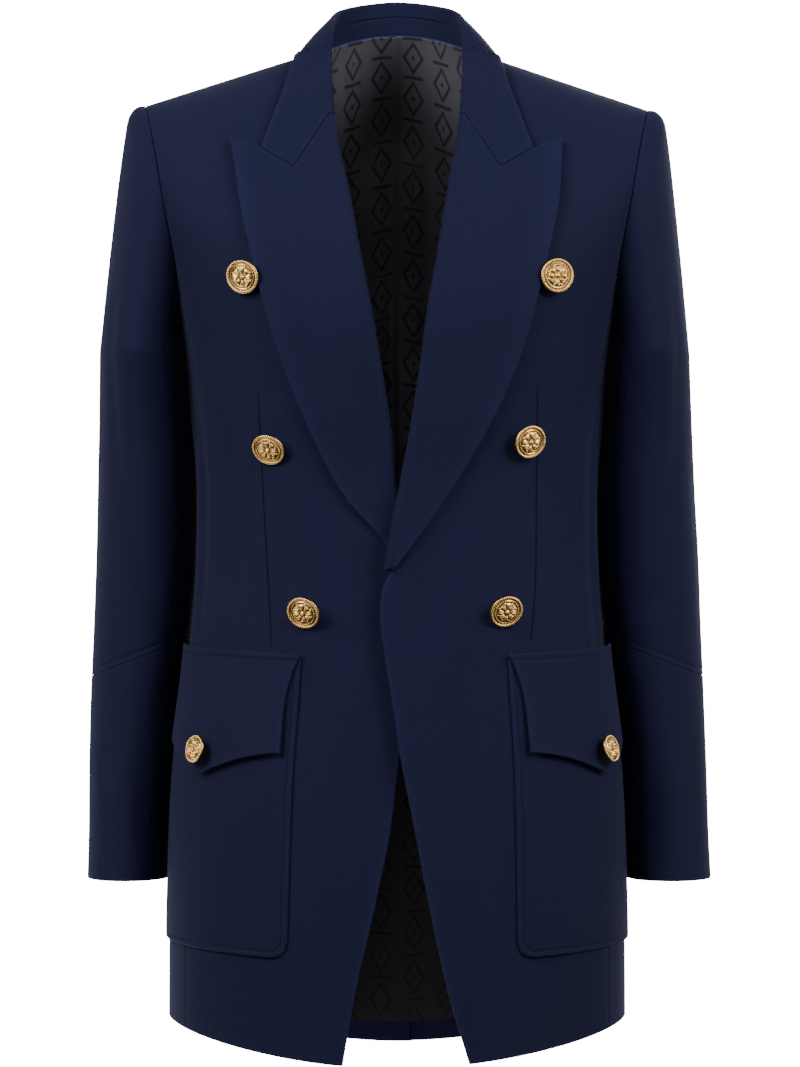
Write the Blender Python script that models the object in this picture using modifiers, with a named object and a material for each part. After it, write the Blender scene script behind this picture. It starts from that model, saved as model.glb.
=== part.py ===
"""A long double breasted blazer with peak lapels, in the hollow form that it has when worn.

Each cut piece is an open surface worked out from the garment's sizes, thickened outwards into a
closed wall. Left and right are the viewer's, seen from the front. The garment faces -Y and the
origin lies between the shoulders, where the wearer holds it up. The tables and the working are
in millimetres; meshes are made in metres.
"""
import math
from collections import namedtuple

import bpy
import numpy as np
from mathutils import Matrix, Vector

MM = 0.001
LEFT, RIGHT = -1, 1
FRONT, BACK = -1, 1

# Cloth
BODY_CLOTH = 2.4          # front, side and back walls: wool, interlining and lining together
LAPEL_CLOTH = 1.6
COLLAR_CLOTH = 1.8
SLEEVE_CLOTH = 2.0
POCKET_CLOTH = 1.6
FLAP_CLOTH = 2.0
LINING_CLOTH = 1.0
HALF_SEAM = 0.15          # each piece stops this far short of its seam line
SEAM = 2 * HALF_SEAM

SIDE_ROWS = 15            # rows of points up a side seam, then up the armhole
ARMHOLE_ROWS = 10

# Shoulders and neck
SHOULDER_SLOPE = 0.3265
SHOULDER_TILT = 0.009     # the right shoulder sits a little lower
NECK_HALF_WIDTH = 62
NECK_POINT_HEIGHT = 4.2
BACK_NECK_HEIGHT = 24
SHOULDER_HALF_WIDTH = 199
NECK_RISE = 55            # the upper back climbs this far above the shoulder line at the neck
NECK_RISE_POWER = 1.3
FRONT_ROUNDING = (230, 130)   # height over which the cloth turns over the shoulder: neck, shoulder end
BACK_ROUNDING = (130, 120)
ROUNDING_AT = (60, 185)       # distances from the centre where those heights hold
ROUNDING_POWER = 0.7

# Armholes
ARMHOLE_JOIN_HEIGHT = -195    # where the side panel's seams meet the armhole
ARMPIT_DROP = 20              # the armhole's foot lies this far below those joins
FRONT_JOIN_TURN = 140         # degrees round the armhole from the shoulder end
BACK_JOIN_TURN = 220

# Seams and hem
FRONT_SEAM_TURN = 61          # degrees from the centre front
BACK_SEAM_TURN = 58           # degrees from the centre back
SEAM_SPREAD = (-350, -195)    # heights between which those seams swing out to the armhole
SIDE_HEM = -756
FRONT_HEM_DROP = 30
BACK_HEM_DROP = 35
HEM_POWER = 2.3               # how late the hem dips on its way to the centres
EDGE_FADE = 8                 # how soon an end's shape fades along a panel, as a power
FRONT_CROWDING = 1.2          # the front's columns lie closer together towards its edge
VENT_TOP = -560
VENT_LAP = 22
VENT_REACH = (4, 44)          # distance from the centre over which the underlap sinks in
VENT_CLOSING = (50, 120)      # and the height above the vent's top over which it comes back
LINING_HEM = 0.35             # the lining ends this share of a row above the hem
LINING_FREE = 4.0             # it hangs this far off the back cloth below the vent's top
LINING_SETTLES = (40, 160)

# Front closing and lapels
LAP = 5.0                     # the right front is lifted and the left one sunk by this much
LAP_REACH = (14, 60)
LAP_FADE = (-340, -150)       # the fronts part above the crossing
GORGE_HEIGHT = -51
LAPEL_FOOT = {LEFT: -396, RIGHT: -406}
ROLL_PULL = 3.6               # the front panel stops this far inside the lapel's roll line
LEAF_LIFT, LEG_CLEARANCE = 1.7, 1.0  # the lapel's leaf and inner leg, clear of the panel
FOLD_FULLNESS, FULLNESS_FADE = 0.9, 8
LAPEL_STAND_OFF, FULL_LAPEL = 1.8, 60     # the lapel's edge lifts by this where it is that wide
LEG_LENGTH = 4.0
SHAPED_TOP = 0.7              # above this share of its height the lapel takes its top edge's shape
FOLD_RADIUS = (LEAF_LIFT + FOLD_FULLNESS + BODY_CLOTH + LEG_CLEARANCE) / 2
GORGE_GAP = 0.25              # the lapel stops this far below the gorge, the collar above it
PULL_HEIGHTS = {LEFT: (-450, -412), RIGHT: (-420, -409)}
STAND_PULL = 6.0              # and a little more at the neck, to pass the collar's fold
STAND_PULL_HEIGHTS = (GORGE_HEIGHT - 35, GORGE_HEIGHT - 5)
NECK_CLIMB = 0.7              # power of the front's climb from the gorge to the neck point
NOTCH = ((77, -93.5), (104, -79))   # foot of the gorge, then the collar's corner, as x and height

# Pockets
POCKET_ARC = {LEFT: 80, RIGHT: 93}  # from the centre front round to the pocket's inner edge
POCKET_WIDTH = 158
POCKET_TOP, POCKET_FOOT = -474, -703
POCKET_TOP_RISE, POCKET_FOOT_RISE = 6, 10   # from the pocket's inner to its outer edge
POCKET_CORNER = 14
POCKET_SKEW = {LEFT: -3.5, RIGHT: 1.0}      # how far the inner edge's foot leans to the centre
POCKET_LIFT = 1.3
FLAP_LIFT, FLAP_STAND_OFF = 3.6, 3.6
FLAP_SIDE_TURNS = (58, 84)                  # the flap lies flatter from the first to the second
FLAP_ABOVE = 4                              # how far its top edge lies above the pocket's
FLAP_LENGTH, FLAP_POINT, POINT_POWER = 76, 20, 1.6
FLAP_WAIST, WAIST_DROP = 10.7, 45           # each side curves in by this over that height
FLAP_BUTTON_DROP = FLAP_LENGTH + 2

# Buttons
BUTTON_RADIUS, FLAP_BUTTON_RADIUS = 13.5, 10.8
BUTTON_STEPS = 16
SHANK, SHANK_GAP = 6.2, 0.6

Section = namedtuple("Section", "height half_width front_depth back_depth squareness")
SECTIONS = (
    Section(60, 218, 104, 94, 2.8),
    Section(-45, 215, 110, 99, 2.8),
    Section(-115, 200, 114, 104, 2.7),
    Section(-170, 181, 119, 108, 2.55),
    Section(-215, 170.5, 120, 107, 2.5),
    Section(-272, 162, 117, 101, 2.4),
    Section(-335, 158.5, 113, 94, 2.3),
    Section(-398, 159, 114, 94, 2.3),
    Section(-470, 164, 118, 101, 2.35),
    Section(-557, 174.5, 124, 111, 2.4),
    Section(-656, 179, 129, 117, 2.4),
    Section(-800, 180.5, 132, 120, 2.4),
)

EdgeRow = namedtuple("EdgeRow", "height left right")
FRONT_LINE = (                # front edge, then the lapel's roll line, from the hem to the gorge
    EdgeRow(-786, -42, 56),
    EdgeRow(-723, -31, 38),
    EdgeRow(-658, -16, 24),
    EdgeRow(-597, -4, 12),
    EdgeRow(-551, 2, 3),
    EdgeRow(-505, 8, -4),
    EdgeRow(-467, 12, -10),
    EdgeRow(-440, 13, -13),
    EdgeRow(-412, 11, -10.5),
    EdgeRow(-372, 5, -4.5),
    EdgeRow(-335, 1, 2.5),
    EdgeRow(-298, -4, 9.5),
    EdgeRow(-260, -10, 15.5),
    EdgeRow(-206, -19, 23),
    EdgeRow(-159, -28, 31),
    EdgeRow(-115, -36, 38),
    EdgeRow(-79, -44, 44.5),
    EdgeRow(-51, -48.5, 48.5),
)
LAPEL_EDGE = (                # outer edge of the lapel, from its foot to the peak
    EdgeRow(-408, 6, -5),
    EdgeRow(-394, -3, 6),
    EdgeRow(-380, -12, 16),
    EdgeRow(-367, -24, 25),
    EdgeRow(-352, -37.5, 35),
    EdgeRow(-329, -51.5, 50),
    EdgeRow(-306, -62.5, 63.5),
    EdgeRow(-283, -72.5, 75.5),
    EdgeRow(-237, -90, 94.5),
    EdgeRow(-190, -104, 108),
    EdgeRow(-143, -116, 119.5),
    EdgeRow(-119, -121, 124.5),
    EdgeRow(-91, -125.5, 126.5),
    EdgeRow(-71.5, -129, 127.5),
)

ArmholeRow = namedtuple("ArmholeRow", "height front back")
ARMHOLE = (                   # distance of the armhole seam from the centre
    ArmholeRow(-195, 169.7, 168.2),
    ArmholeRow(-163, 173.5, 178),
    ArmholeRow(-142, 177.5, 183.5),
    ArmholeRow(-114, 183, 188),
    ArmholeRow(-86, 188, 192),
    ArmholeRow(-60, 193.5, 196),
    ArmholeRow(-38, 199, 199),
)

SleeveRow = namedtuple("SleeveRow", "height left_outer right_outer inner centre half_depth")
SLEEVE = (
    SleeveRow(-235, 235.5, 231.5, 169, 6, 70),
    SleeveRow(-290, 237, 234.5, 160.9, 22, 68),
    SleeveRow(-343, 238.8, 237.4, 158, 29, 66),
    SleeveRow(-400, 240.5, 240.8, 158.4, 32, 63),
    SleeveRow(-460, 243, 243, 163.4, 34, 61),
    SleeveRow(-510, 244.5, 244.8, 169.6, 32, 58),
    SleeveRow(-560, 245.3, 246.4, 175.4, 27, 55),
    SleeveRow(-620, 245.4, 248, 180, 21, 52),
    SleeveRow(-650, 246, 249.3, 181.6, 17, 50),
)
SLEEVE_TOP, CUFF = SLEEVE[0].height, SLEEVE[-1].height
FOREARM_SEAM, HIND_SEAM = 125, 250    # degrees round the sleeve from its outer side
ELBOW_HEIGHT, ELBOW_SLANT = -475, 15
HEAD_REACH, HEAD_DROP = 12.8, 6.8     # how far the sleeve head stands out and turns down
HEAD_TURN = -0.6              # cosine of the turn where the raised head ends on its way to the armpit
HEAD_LENGTH = 0.25            # share of the sleeve head over which the cloth rounds over
ROOT_GAP = 1.5 * SEAM
ROOT_AWAY, HEAD_AWAY = (0.3, 0.2), (0.5, 0.18)   # how far these gaps also point forward and up
FALL_POWERS = (1.3, 0.7)      # the cloth falls to the full ring by the first, and the sum on top
LEVEL_FALL = 0.8
UPPER_DOWNS = (0, 0.05, 0.12, 0.2, 0.32, 0.5, 0.75, 1, 1.34, 1.67, 2)
LOWER_DOWNS = (2, 2.34, 2.67, 3)
UPPER_SPAN, LOWER_SPAN = 240, 170   # lengths of one step down the sleeve, above and below the elbow
SLEEVE_GAP = math.degrees(2 * HALF_SEAM / 60)

CollarRow = namedtuple("CollarRow", "station roll_x roll_y roll_z seam_x seam_z edge_x edge_z face")
COLLAR = (                    # half the collar, from the gorge round to the centre back
    CollarRow(0, 48.5, -62, -51, 53, -57, 104, -79, FRONT),
    CollarRow(1, 50.5, -49, -26, 58, -34, 94.5, -50, FRONT),
    CollarRow(2, 51.5, -25, -2, 60.8, -9, 88, -31, FRONT),
    CollarRow(3, 51, 0, 24, 61.6, 4.2, 81.5, -9, FRONT),
    CollarRow(4, 49, 18, 35, 58, 6.7, 75, -4.5, BACK),
    CollarRow(5, 42.5, 34, 41.5, 48, 12.1, 62, -8, BACK),
    CollarRow(6, 25, 50, 47, 26, 20.5, 36, 0, BACK),
    CollarRow(7, 0, 57, 50, 0, 24, 0, 4, BACK),
)
COLLAR_END = COLLAR[-1].station
COLLAR_COLUMNS = 37
COLLAR_LEAF_ROWS = 7           # as many as the lapel has columns up to the collar's corner
COLLAR_FOLD_RADIUS = 1.5
COLLAR_CROWN = 1.6            # how far the outer leaf bulges between roll and edge
FALL_LIFT = 2.3               # the collar's outer leaf stays this far off the body's cloth
STAND_SHARE, STAND_GAP = 0.6, 0.75  # how far up the inner face the stand reaches
STAND_ENDS = 3                # the stand ends this many of the collar's columns before its ends
COLLAR_SETTLES = 2.2          # stations over which the collar loses its crown towards the gorge
FOLD_BENDS = np.radians([-90, -45, 0, 45])

# A button's face leans down and swings away from the centre by these degrees
ButtonRow = namedtuple("ButtonRow", "name x height lean swing")
BUTTONS = (
    ButtonRow("button_left_top", -115.8, -179.5, 16, 0),
    ButtonRow("button_left_middle", -95.6, -311.3, 28, -2),
    ButtonRow("button_left_low", -69.6, -438, 29, 9),
    ButtonRow("button_right_top", 120.2, -178.5, 3, -5),
    ButtonRow("button_right_middle", 98.9, -305.5, 12, 4),
    ButtonRow("button_right_low", 81.5, -437, 30, 4),
)
FLAP_BUTTON_LEAN, FLAP_BUTTON_SWING = -6, 5

WOOL = (0.012, 0.018, 0.060)
SATIN = (0.010, 0.010, 0.014)
GOLD = (0.80, 0.52, 0.18)


# Tables and small sums

def through(rows, name, at, key="height"):
    """Read a table's column at any place, on a smooth curve through its rows."""
    knots = np.array([getattr(row, key) for row in rows], dtype=float)
    values = np.array([getattr(row, name) for row in rows], dtype=float)
    if knots[0] > knots[-1]:
        knots, values = knots[::-1], values[::-1]
    slopes = np.gradient(values, knots)
    at = np.clip(at, knots[0], knots[-1])
    low = np.clip(np.searchsorted(knots, at) - 1, 0, len(knots) - 2)
    span = knots[low + 1] - knots[low]
    t = (at - knots[low]) / span
    rise = values[low + 1] - values[low]
    leave = slopes[low] * span - rise
    arrive = rise - slopes[low + 1] * span
    return values[low] + t * rise + t * (1 - t) * ((1 - t) * leave + t * arrive)


def mix(start, end, share):
    return start + (end - start) * share


def ease(low, high, value):
    """Rise smoothly from 0 at low to 1 at high."""
    t = np.clip((value - low) / (high - low), 0, 1)
    return t * t * (3 - 2 * t)


def point(x, y, z):
    return np.stack(np.broadcast_arrays(x, y, z), axis=-1).astype(float)


def side_name(side):
    return "left" if side == LEFT else "right"


def unit(vectors):
    return vectors / np.linalg.norm(vectors, axis=-1, keepdims=True)


# The body's form

def ridge_height(x, face):
    """Height of the shoulder line. The back's own ridge climbs inside the neck."""
    reach = np.maximum(np.abs(x), NECK_HALF_WIDTH)
    height = NECK_POINT_HEIGHT - SHOULDER_SLOPE * (reach - NECK_HALF_WIDTH) - SHOULDER_TILT * x
    if face == BACK:
        height = height + NECK_RISE * np.clip(1 - (x / NECK_HALF_WIDTH) ** 2, 0, 1) ** NECK_RISE_POWER
    return height


def on_wall(x, height, face):
    """Point of the front or back cloth's outer face at x and height.

    Level sections are superellipses. Towards the shoulder line the depth falls away to nothing.
    """
    half_width = through(SECTIONS, "half_width", height)
    depth = through(SECTIONS, "front_depth" if face == FRONT else "back_depth", height)
    power = through(SECTIONS, "squareness", height)
    fullness = (1 - np.clip(np.abs(x) / half_width, 0, 1) ** power) ** (1 / power)
    rounding = FRONT_ROUNDING if face == FRONT else BACK_ROUNDING
    over = np.interp(np.abs(x), ROUNDING_AT, rounding)
    below = np.clip((ridge_height(x, face) - height) / over, 0, 1)
    turned = (1 - (1 - below) ** 2) ** ROUNDING_POWER
    return point(x, face * (HALF_SEAM + depth * fullness * turned), height)


def wall_normal(x, height, face):
    """Outward direction of the front or back cloth."""
    across = on_wall(x + 0.5, height, face) - on_wall(x - 0.5, height, face)
    upward = on_wall(x, height, face) - on_wall(x, height - 1, face)
    away = -face * unit(np.cross(across, upward))
    on_ridge = 1 - ease(0, 3, ridge_height(x, face) - height)
    return unit(mix(away, point(0, 0, 1), on_ridge[..., None]))


def wall(x, height, face, lift=0.0):
    """Point of the front or back cloth, moved off its outer face by the lift."""
    away = wall_normal(x, height, face) * np.asarray(lift, dtype=float)[..., None]
    return on_wall(x, height, face) + away


def on_ring(turn, height, side):
    """Point of the body cloth at a turn in degrees from the centre front, below the armholes."""
    angle = np.radians(turn)
    sine, cosine = np.sin(angle), np.cos(angle)
    half_width = through(SECTIONS, "half_width", height)
    front = through(SECTIONS, "front_depth", height)
    back = through(SECTIONS, "back_depth", height)
    power = through(SECTIONS, "squareness", height)
    reach = (np.abs(sine) ** power + np.abs(cosine) ** power) ** (-1 / power)
    depth = np.where(cosine > 0, front, back)
    return point(side * half_width * reach * sine, -depth * reach * cosine, height)


def ring_normal(turn, height, side):
    """Outward direction of the body cloth at a turn."""
    around = on_ring(turn + 0.25, height, side) - on_ring(turn - 0.25, height, side)
    upward = on_ring(turn, height, side) - on_ring(turn, height - 1, side)
    return side * unit(np.cross(around, upward))


def ring(turn, height, side, lift=0.0):
    """Point of the body cloth at a turn, moved off its outer face by the lift."""
    away = ring_normal(turn, height, side) * np.asarray(lift, dtype=float)[..., None]
    return on_ring(turn, height, side) + away


def hem_height(turn):
    """The hem dips at the centre front and centre back."""
    cosine = np.cos(np.radians(turn))
    return SIDE_HEM - np.where(cosine > 0, FRONT_HEM_DROP, BACK_HEM_DROP) * np.abs(cosine) ** HEM_POWER


def turn_at(x, height):
    """Degrees from the front or back centre of the ring's point at x."""
    power = through(SECTIONS, "squareness", height)
    across = np.clip(np.abs(x) / through(SECTIONS, "half_width", height), 0, 1)
    return np.degrees(np.arctan2(across, (1 - across ** power) ** (1 / power)))


def armhole_x(height, face):
    return through(ARMHOLE, "front" if face == FRONT else "back", height)


def seam_turn(height, face):
    """Degrees of the side panel's seam from the front or back centre."""
    low = FRONT_SEAM_TURN if face == FRONT else BACK_SEAM_TURN
    join = turn_at(armhole_x(ARMHOLE_JOIN_HEIGHT, face), ARMHOLE_JOIN_HEIGHT)
    return mix(low, join, ease(*SEAM_SPREAD, height))


def panel_side_x(height, face, side):
    """Outer edge of a front or back panel: side seam, then armhole."""
    gap = math.degrees(HALF_SEAM / SECTIONS[-1].half_width)
    turn = seam_turn(height, face) - gap
    on_seam = ring(turn if face == FRONT else 180 - turn, height, side)[..., 0]
    on_armhole = side * (armhole_x(height, face) - SEAM)
    return np.where(height < ARMHOLE_JOIN_HEIGHT, on_seam, on_armhole)


def front_lap(x, height, side):
    """Lift of the fronts where they pass each other: the right one out, the left one in."""
    return side * LAP * (1 - ease(*LAP_REACH, side * x)) * (1 - ease(*LAP_FADE, height))


def armhole(turn, side):
    """Point of the body's outer face at the armhole, a turn in degrees from the shoulder end."""
    turn = turn % 360
    tip = ridge_height(side * SHOULDER_HALF_WIDTH, FRONT)
    foot_cosine = math.cos(math.radians(FRONT_JOIN_TURN))
    share = (np.cos(np.radians(turn)) - foot_cosine) / (1 - foot_cosine)
    height = mix(ARMHOLE_JOIN_HEIGHT, tip, np.clip(share, 0, 1))
    front = wall(side * armhole_x(height, FRONT), height, FRONT)
    back = wall(side * armhole_x(height, BACK), height, BACK)
    along = np.clip((turn - FRONT_JOIN_TURN) / (BACK_JOIN_TURN - FRONT_JOIN_TURN), 0, 1)
    foot = side_top(along, side)
    in_front = (turn < FRONT_JOIN_TURN)[..., None]
    behind = (turn > BACK_JOIN_TURN)[..., None]
    return np.where(in_front, front, np.where(behind, back, foot))


def side_top(along, side):
    """The side panel's top edge under the arm, from the front join (0) to the back join (1)."""
    first = seam_turn(ARMHOLE_JOIN_HEIGHT, FRONT)
    last = 180 - seam_turn(ARMHOLE_JOIN_HEIGHT, BACK)
    height = ARMHOLE_JOIN_HEIGHT - ARMPIT_DROP * (1 - (2 * along - 1) ** 2)
    return ring(mix(first, last, along), height, side)


# Making objects

def new_collection(name):
    collection = bpy.data.collections.new(name)
    bpy.context.scene.collection.children.link(collection)
    return collection


def paint(name, colour, roughness, metallic=0.0):
    material = bpy.data.materials.new(name)
    material.use_nodes = True
    shader = material.node_tree.nodes["Principled BSDF"]
    shader.inputs["Base Color"].default_value = (*colour, 1)
    shader.inputs["Roughness"].default_value = roughness
    shader.inputs["Metallic"].default_value = metallic
    return material


def cloth(collection, name, grid, thickness, outwards, colour=WOOL, roughness=0.8):
    """Object of an open grid (rows, columns, 3), thickened towards its outward side."""
    middle = grid[grid.shape[0] // 2, grid.shape[1] // 2]
    across = grid[grid.shape[0] // 2, grid.shape[1] // 2 - 1] - middle
    along = grid[grid.shape[0] // 2 - 1, grid.shape[1] // 2] - middle
    if np.dot(np.cross(across, along), outwards) < 0:
        grid = grid[:, ::-1]
    rows, columns = grid.shape[:2]
    index = np.arange(rows * columns).reshape(rows, columns)
    corners = (index[:-1, :-1], index[:-1, 1:], index[1:, 1:], index[1:, :-1])
    mesh = bpy.data.meshes.new(name)
    mesh.from_pydata((grid * MM).reshape(-1, 3).tolist(), [], np.stack(corners, -1).reshape(-1, 4).tolist())
    mesh.shade_smooth()
    mesh.materials.append(paint(name, colour, roughness))
    piece = bpy.data.objects.new(name, mesh)
    collection.objects.link(piece)
    wall_thickness = piece.modifiers.new("Cloth", "SOLIDIFY")
    wall_thickness.thickness = thickness * MM
    wall_thickness.offset = 1.0
    return piece


# Body panels

def crowded(count):
    """Shares from 0 to 1 that lie closer together towards 1, where the cloth curves more."""
    even = np.linspace(0, 1, count)
    return mix(even, np.sin(even * math.pi / 2), 0.5)


def side_heights(turn):
    """Heights of a panel's rows along its side seam, the same on both sides of the seam."""
    return mix(hem_height(turn), ARMHOLE_JOIN_HEIGHT, crowded(SIDE_ROWS))


def outer_heights(turn, side):
    """Heights of a front or back panel's rows along its side seam and armhole."""
    tip = ridge_height(side * SHOULDER_HALF_WIDTH, FRONT)
    upper = mix(ARMHOLE_JOIN_HEIGHT, tip, crowded(ARMHOLE_ROWS + 1)[1:])
    heights = np.concatenate([side_heights(turn), upper])[:, None]
    return heights, (heights - heights[0]) / (heights[-1] - heights[0])


def front_edge_x(height, side):
    """Inner edge of a front panel: front edge, roll line, then up under the collar to the neck."""
    line = through(FRONT_LINE, side_name(side), height)
    pulled = line + side * ROLL_PULL * ease(*PULL_HEIGHTS[side], height)
    pulled = pulled + side * STAND_PULL * ease(*STAND_PULL_HEIGHTS, height)
    gorge = side * (FRONT_LINE[-1].right + ROLL_PULL + STAND_PULL)
    climb = np.clip((height - GORGE_HEIGHT) / (NECK_POINT_HEIGHT - GORGE_HEIGHT), 0, 1)
    return np.where(height < GORGE_HEIGHT, pulled, mix(gorge, side * NECK_HALF_WIDTH, climb ** NECK_CLIMB))


def front_panel(side, columns=13):
    """Cloth from the front edge to the side seam and armhole, and from the hem to the shoulder."""
    outer_height, up = outer_heights(FRONT_SEAM_TURN, side)
    across = np.linspace(0, 1, columns)[None, :] ** FRONT_CROWDING
    inner_height = mix(FRONT_LINE[0].height + 1.5, ridge_height(side * NECK_HALF_WIDTH, FRONT), up)
    inner_x = front_edge_x(inner_height, side)
    outer_x = panel_side_x(outer_height, FRONT, side)
    x = mix(inner_x, outer_x, across)
    straight = mix(inner_height, outer_height, across)
    hem = hem_height(turn_at(x, straight))
    height = straight + (hem - straight[:1]) * (1 - up) ** EDGE_FADE
    return wall(x, height, FRONT, front_lap(x, height, side) - BODY_CLOTH)


def side_panel(side, columns=7):
    """Cloth under the arm, between the front and back seams."""
    up = crowded(SIDE_ROWS)[:, None]
    across = np.linspace(0, 1, columns)[None, :]
    gap = math.degrees(HALF_SEAM / SECTIONS[-1].half_width)
    first_height = side_heights(FRONT_SEAM_TURN)[:, None]
    last_height = side_heights(180 - BACK_SEAM_TURN)[:, None]
    first = seam_turn(first_height, FRONT) + gap
    last = 180 - seam_turn(last_height, BACK) - gap
    turn = mix(first, last, across)
    height = mix(hem_height(turn), side_top(across, side)[..., 2] - HALF_SEAM, up)
    return ring(turn, height, side, -BODY_CLOTH)


def back_top(x, side):
    """Top edge of the back: the neck seam, then the shoulder seam."""
    neck = BACK_NECK_HEIGHT - (BACK_NECK_HEIGHT - NECK_POINT_HEIGHT) * (x / NECK_HALF_WIDTH) ** 2
    return np.where(np.abs(x) < NECK_HALF_WIDTH, neck, ridge_height(x, FRONT))


def back_lines(side, columns=11):
    """Columns of x and height over half the back, from the centre seam to the side seam."""
    outer_height, up = outer_heights(180 - BACK_SEAM_TURN, side)
    across = np.linspace(0, 1, columns)[None, :]
    inner_height = mix(SIDE_HEM - BACK_HEM_DROP, BACK_NECK_HEIGHT, up)
    inner_x = side * HALF_SEAM + 0 * inner_height
    if side == LEFT:
        lap = mix(VENT_LAP, VENT_LAP / 2, ease(VENT_TOP, SIDE_HEM, inner_height))
        inner_x = np.where(inner_height < VENT_TOP, lap, inner_x)
    x = mix(inner_x, panel_side_x(outer_height, BACK, side), across)
    straight = mix(inner_height, outer_height, across)
    hem = hem_height(180 - turn_at(x, straight))
    height = straight + (hem - straight[:1]) * (1 - up) ** EDGE_FADE
    return x, height + (back_top(x, side) - straight[-1:]) * up ** EDGE_FADE


def back_panel(side):
    """Half the back. The left half has the vent's underlap, inside the right half."""
    x, height = back_lines(side)
    lift = 0.0
    if side == LEFT:
        sunk = (1 - ease(*VENT_REACH, -x)) * (1 - ease(*VENT_CLOSING, height - VENT_TOP))
        lift = -(BODY_CLOTH + 2 * SEAM) * sunk
    return wall(x, height, BACK, lift - BODY_CLOTH)


def back_lining():
    """Lining inside the back, on the points of its outer cloth, hanging free towards the hem."""
    right_x, right_height = (values[:-1, :-1] for values in back_lines(RIGHT))
    left_height = back_lines(LEFT)[1][:-1, :-1]
    right_height[0] = mix(right_height[0], right_height[1], LINING_HEM)
    left_height[0] = mix(left_height[0], left_height[1], LINING_HEM)
    x = np.concatenate([-right_x[:, :0:-1], 0 * right_x[:, :1], right_x[:, 1:]], axis=1)
    height = np.concatenate([left_height[:, :0:-1], right_height], axis=1)
    free = LINING_FREE * (1 - ease(*LINING_SETTLES, height - VENT_TOP))
    return wall(x, height, BACK, -(BODY_CLOTH + SEAM + LINING_CLOTH + free))


# Lapels and collar

def leaf_stops(side):
    """Shares of the lapel's width at the roll line, the gorge's foot, the collar and the peak."""
    gorge, peak = (getattr(row, side_name(side)) for row in (FRONT_LINE[-1], LAPEL_EDGE[-1]))
    return [0.0] + [(side * notch_x - gorge) / (peak - gorge) for notch_x, _ in NOTCH] + [1.0]


def leaf_shares(side):
    """The lapel's columns over its width, with one at each corner of its top edge."""
    stops = leaf_stops(side)
    return np.concatenate([np.linspace(stops[0], stops[1], 4), np.linspace(stops[1], stops[2], 4)[1:],
                           np.linspace(stops[2], stops[3], 3)[1:]])


def lapel(side, rows=21):
    """Facing turned back at the roll line: a short inner leg, a round fold, then the lapel."""
    up = np.linspace(0, 1, rows)[:, None]
    fold_height = mix(LAPEL_FOOT[side], GORGE_HEIGHT, up)
    fold_x = through(FRONT_LINE, side_name(side), fold_height)
    edge_height = mix(LAPEL_FOOT[side] + 3, LAPEL_EDGE[-1].height, up)
    edge_x = through(LAPEL_EDGE, side_name(side), edge_height)
    width = np.hypot(edge_x - fold_x, edge_height - fold_height)
    peak_x = edge_x[-1, 0]
    gorge_x = fold_x[-1, 0]
    stops = leaf_stops(side)
    leaf = leaf_shares(side)[None, :]
    straight_x = mix(gorge_x, peak_x, leaf)
    straight_height = mix(GORGE_HEIGHT, edge_height[-1, 0], leaf)
    corner_x = [gorge_x] + [side * notch_x for notch_x, _ in NOTCH] + [peak_x]
    corner_height = [GORGE_HEIGHT] + [notch_height for _, notch_height in NOTCH] + [edge_height[-1, 0]]
    near_gorge = np.clip((up - SHAPED_TOP) / (1 - SHAPED_TOP), 0, 1) ** 1.5
    shift_x = (np.interp(leaf, stops, corner_x) - straight_x) * near_gorge
    shift_height = (np.interp(leaf, stops, corner_height) - straight_height) * near_gorge

    inner_face = -BODY_CLOTH - LEG_CLEARANCE
    outer_face = LEAF_LIFT + FOLD_FULLNESS * np.exp(-FULLNESS_FADE * leaf)
    outer_face = outer_face + LAPEL_STAND_OFF * leaf ** 2 * np.clip(width / FULL_LAPEL, 0, 1)
    fold_centre = FOLD_RADIUS + LAPEL_CLOTH
    bend = FOLD_BENDS[None, :]
    bend_reach = fold_centre - FOLD_RADIUS * np.cos(bend)
    bend_face = (inner_face + FOLD_RADIUS) + FOLD_RADIUS * np.sin(bend)
    reach = np.concatenate([np.full_like(up, fold_centre + LEG_LENGTH), bend_reach + 0 * up,
                            mix(fold_centre, width, leaf)], axis=1)
    face = np.concatenate([np.full_like(up, inner_face), bend_face + 0 * up, outer_face + 0 * up], axis=1)
    still = np.zeros((rows, 1 + bend.shape[1]))
    x = fold_x + (edge_x - fold_x) / width * reach + np.concatenate([still, shift_x], axis=1)
    height = fold_height + (edge_height - fold_height) / width * reach
    height = height + np.concatenate([still, shift_height], axis=1) - GORGE_GAP * near_gorge
    return wall(x, height, FRONT, front_lap(x, height, side) + face)


def collar_lines(stations):
    """Roll, neck seam and outer edge of the collar at the given stations, as three point rows."""
    signed = [(row, 1) for row in COLLAR] + [(row, -1) for row in COLLAR[-2::-1]]
    place = [row.station if mirror == 1 else 2 * COLLAR_END - row.station for row, mirror in signed]
    rolls, seams, edges = [], [], []
    for row, mirror in signed:
        rolls.append((mirror * row.roll_x, row.roll_y, row.roll_z))
        seams.append(on_wall(mirror * row.seam_x, row.seam_z, row.face) + (0, 0, 3 * SEAM))
        edges.append(wall(mirror * row.edge_x, row.edge_z, row.face, FALL_LIFT))
    Place = namedtuple("Place", "station x y z")
    lines = []
    for points in (rolls, seams, edges):
        rows = [Place(at, *xyz) for at, xyz in zip(place, points)]
        lines.append(point(*(through(rows, axis, stations, "station") for axis in "xyz")))
    return lines


def keep_clear(points, lift):
    """Push points that dip under the body's cloth out to the given lift."""
    for face in (FRONT, BACK):
        x, y, z = np.moveaxis(points, -1, 0)
        normal = wall_normal(x, np.minimum(z, ridge_height(x, face)), face)
        height = np.sum((points - on_wall(x, z, face)) * normal, axis=-1)
        inside = (z < ridge_height(x, face)) & (y * face > 0) & (height < lift)
        points = points + np.where(inside, lift - height, 0)[..., None] * normal
    return points


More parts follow.
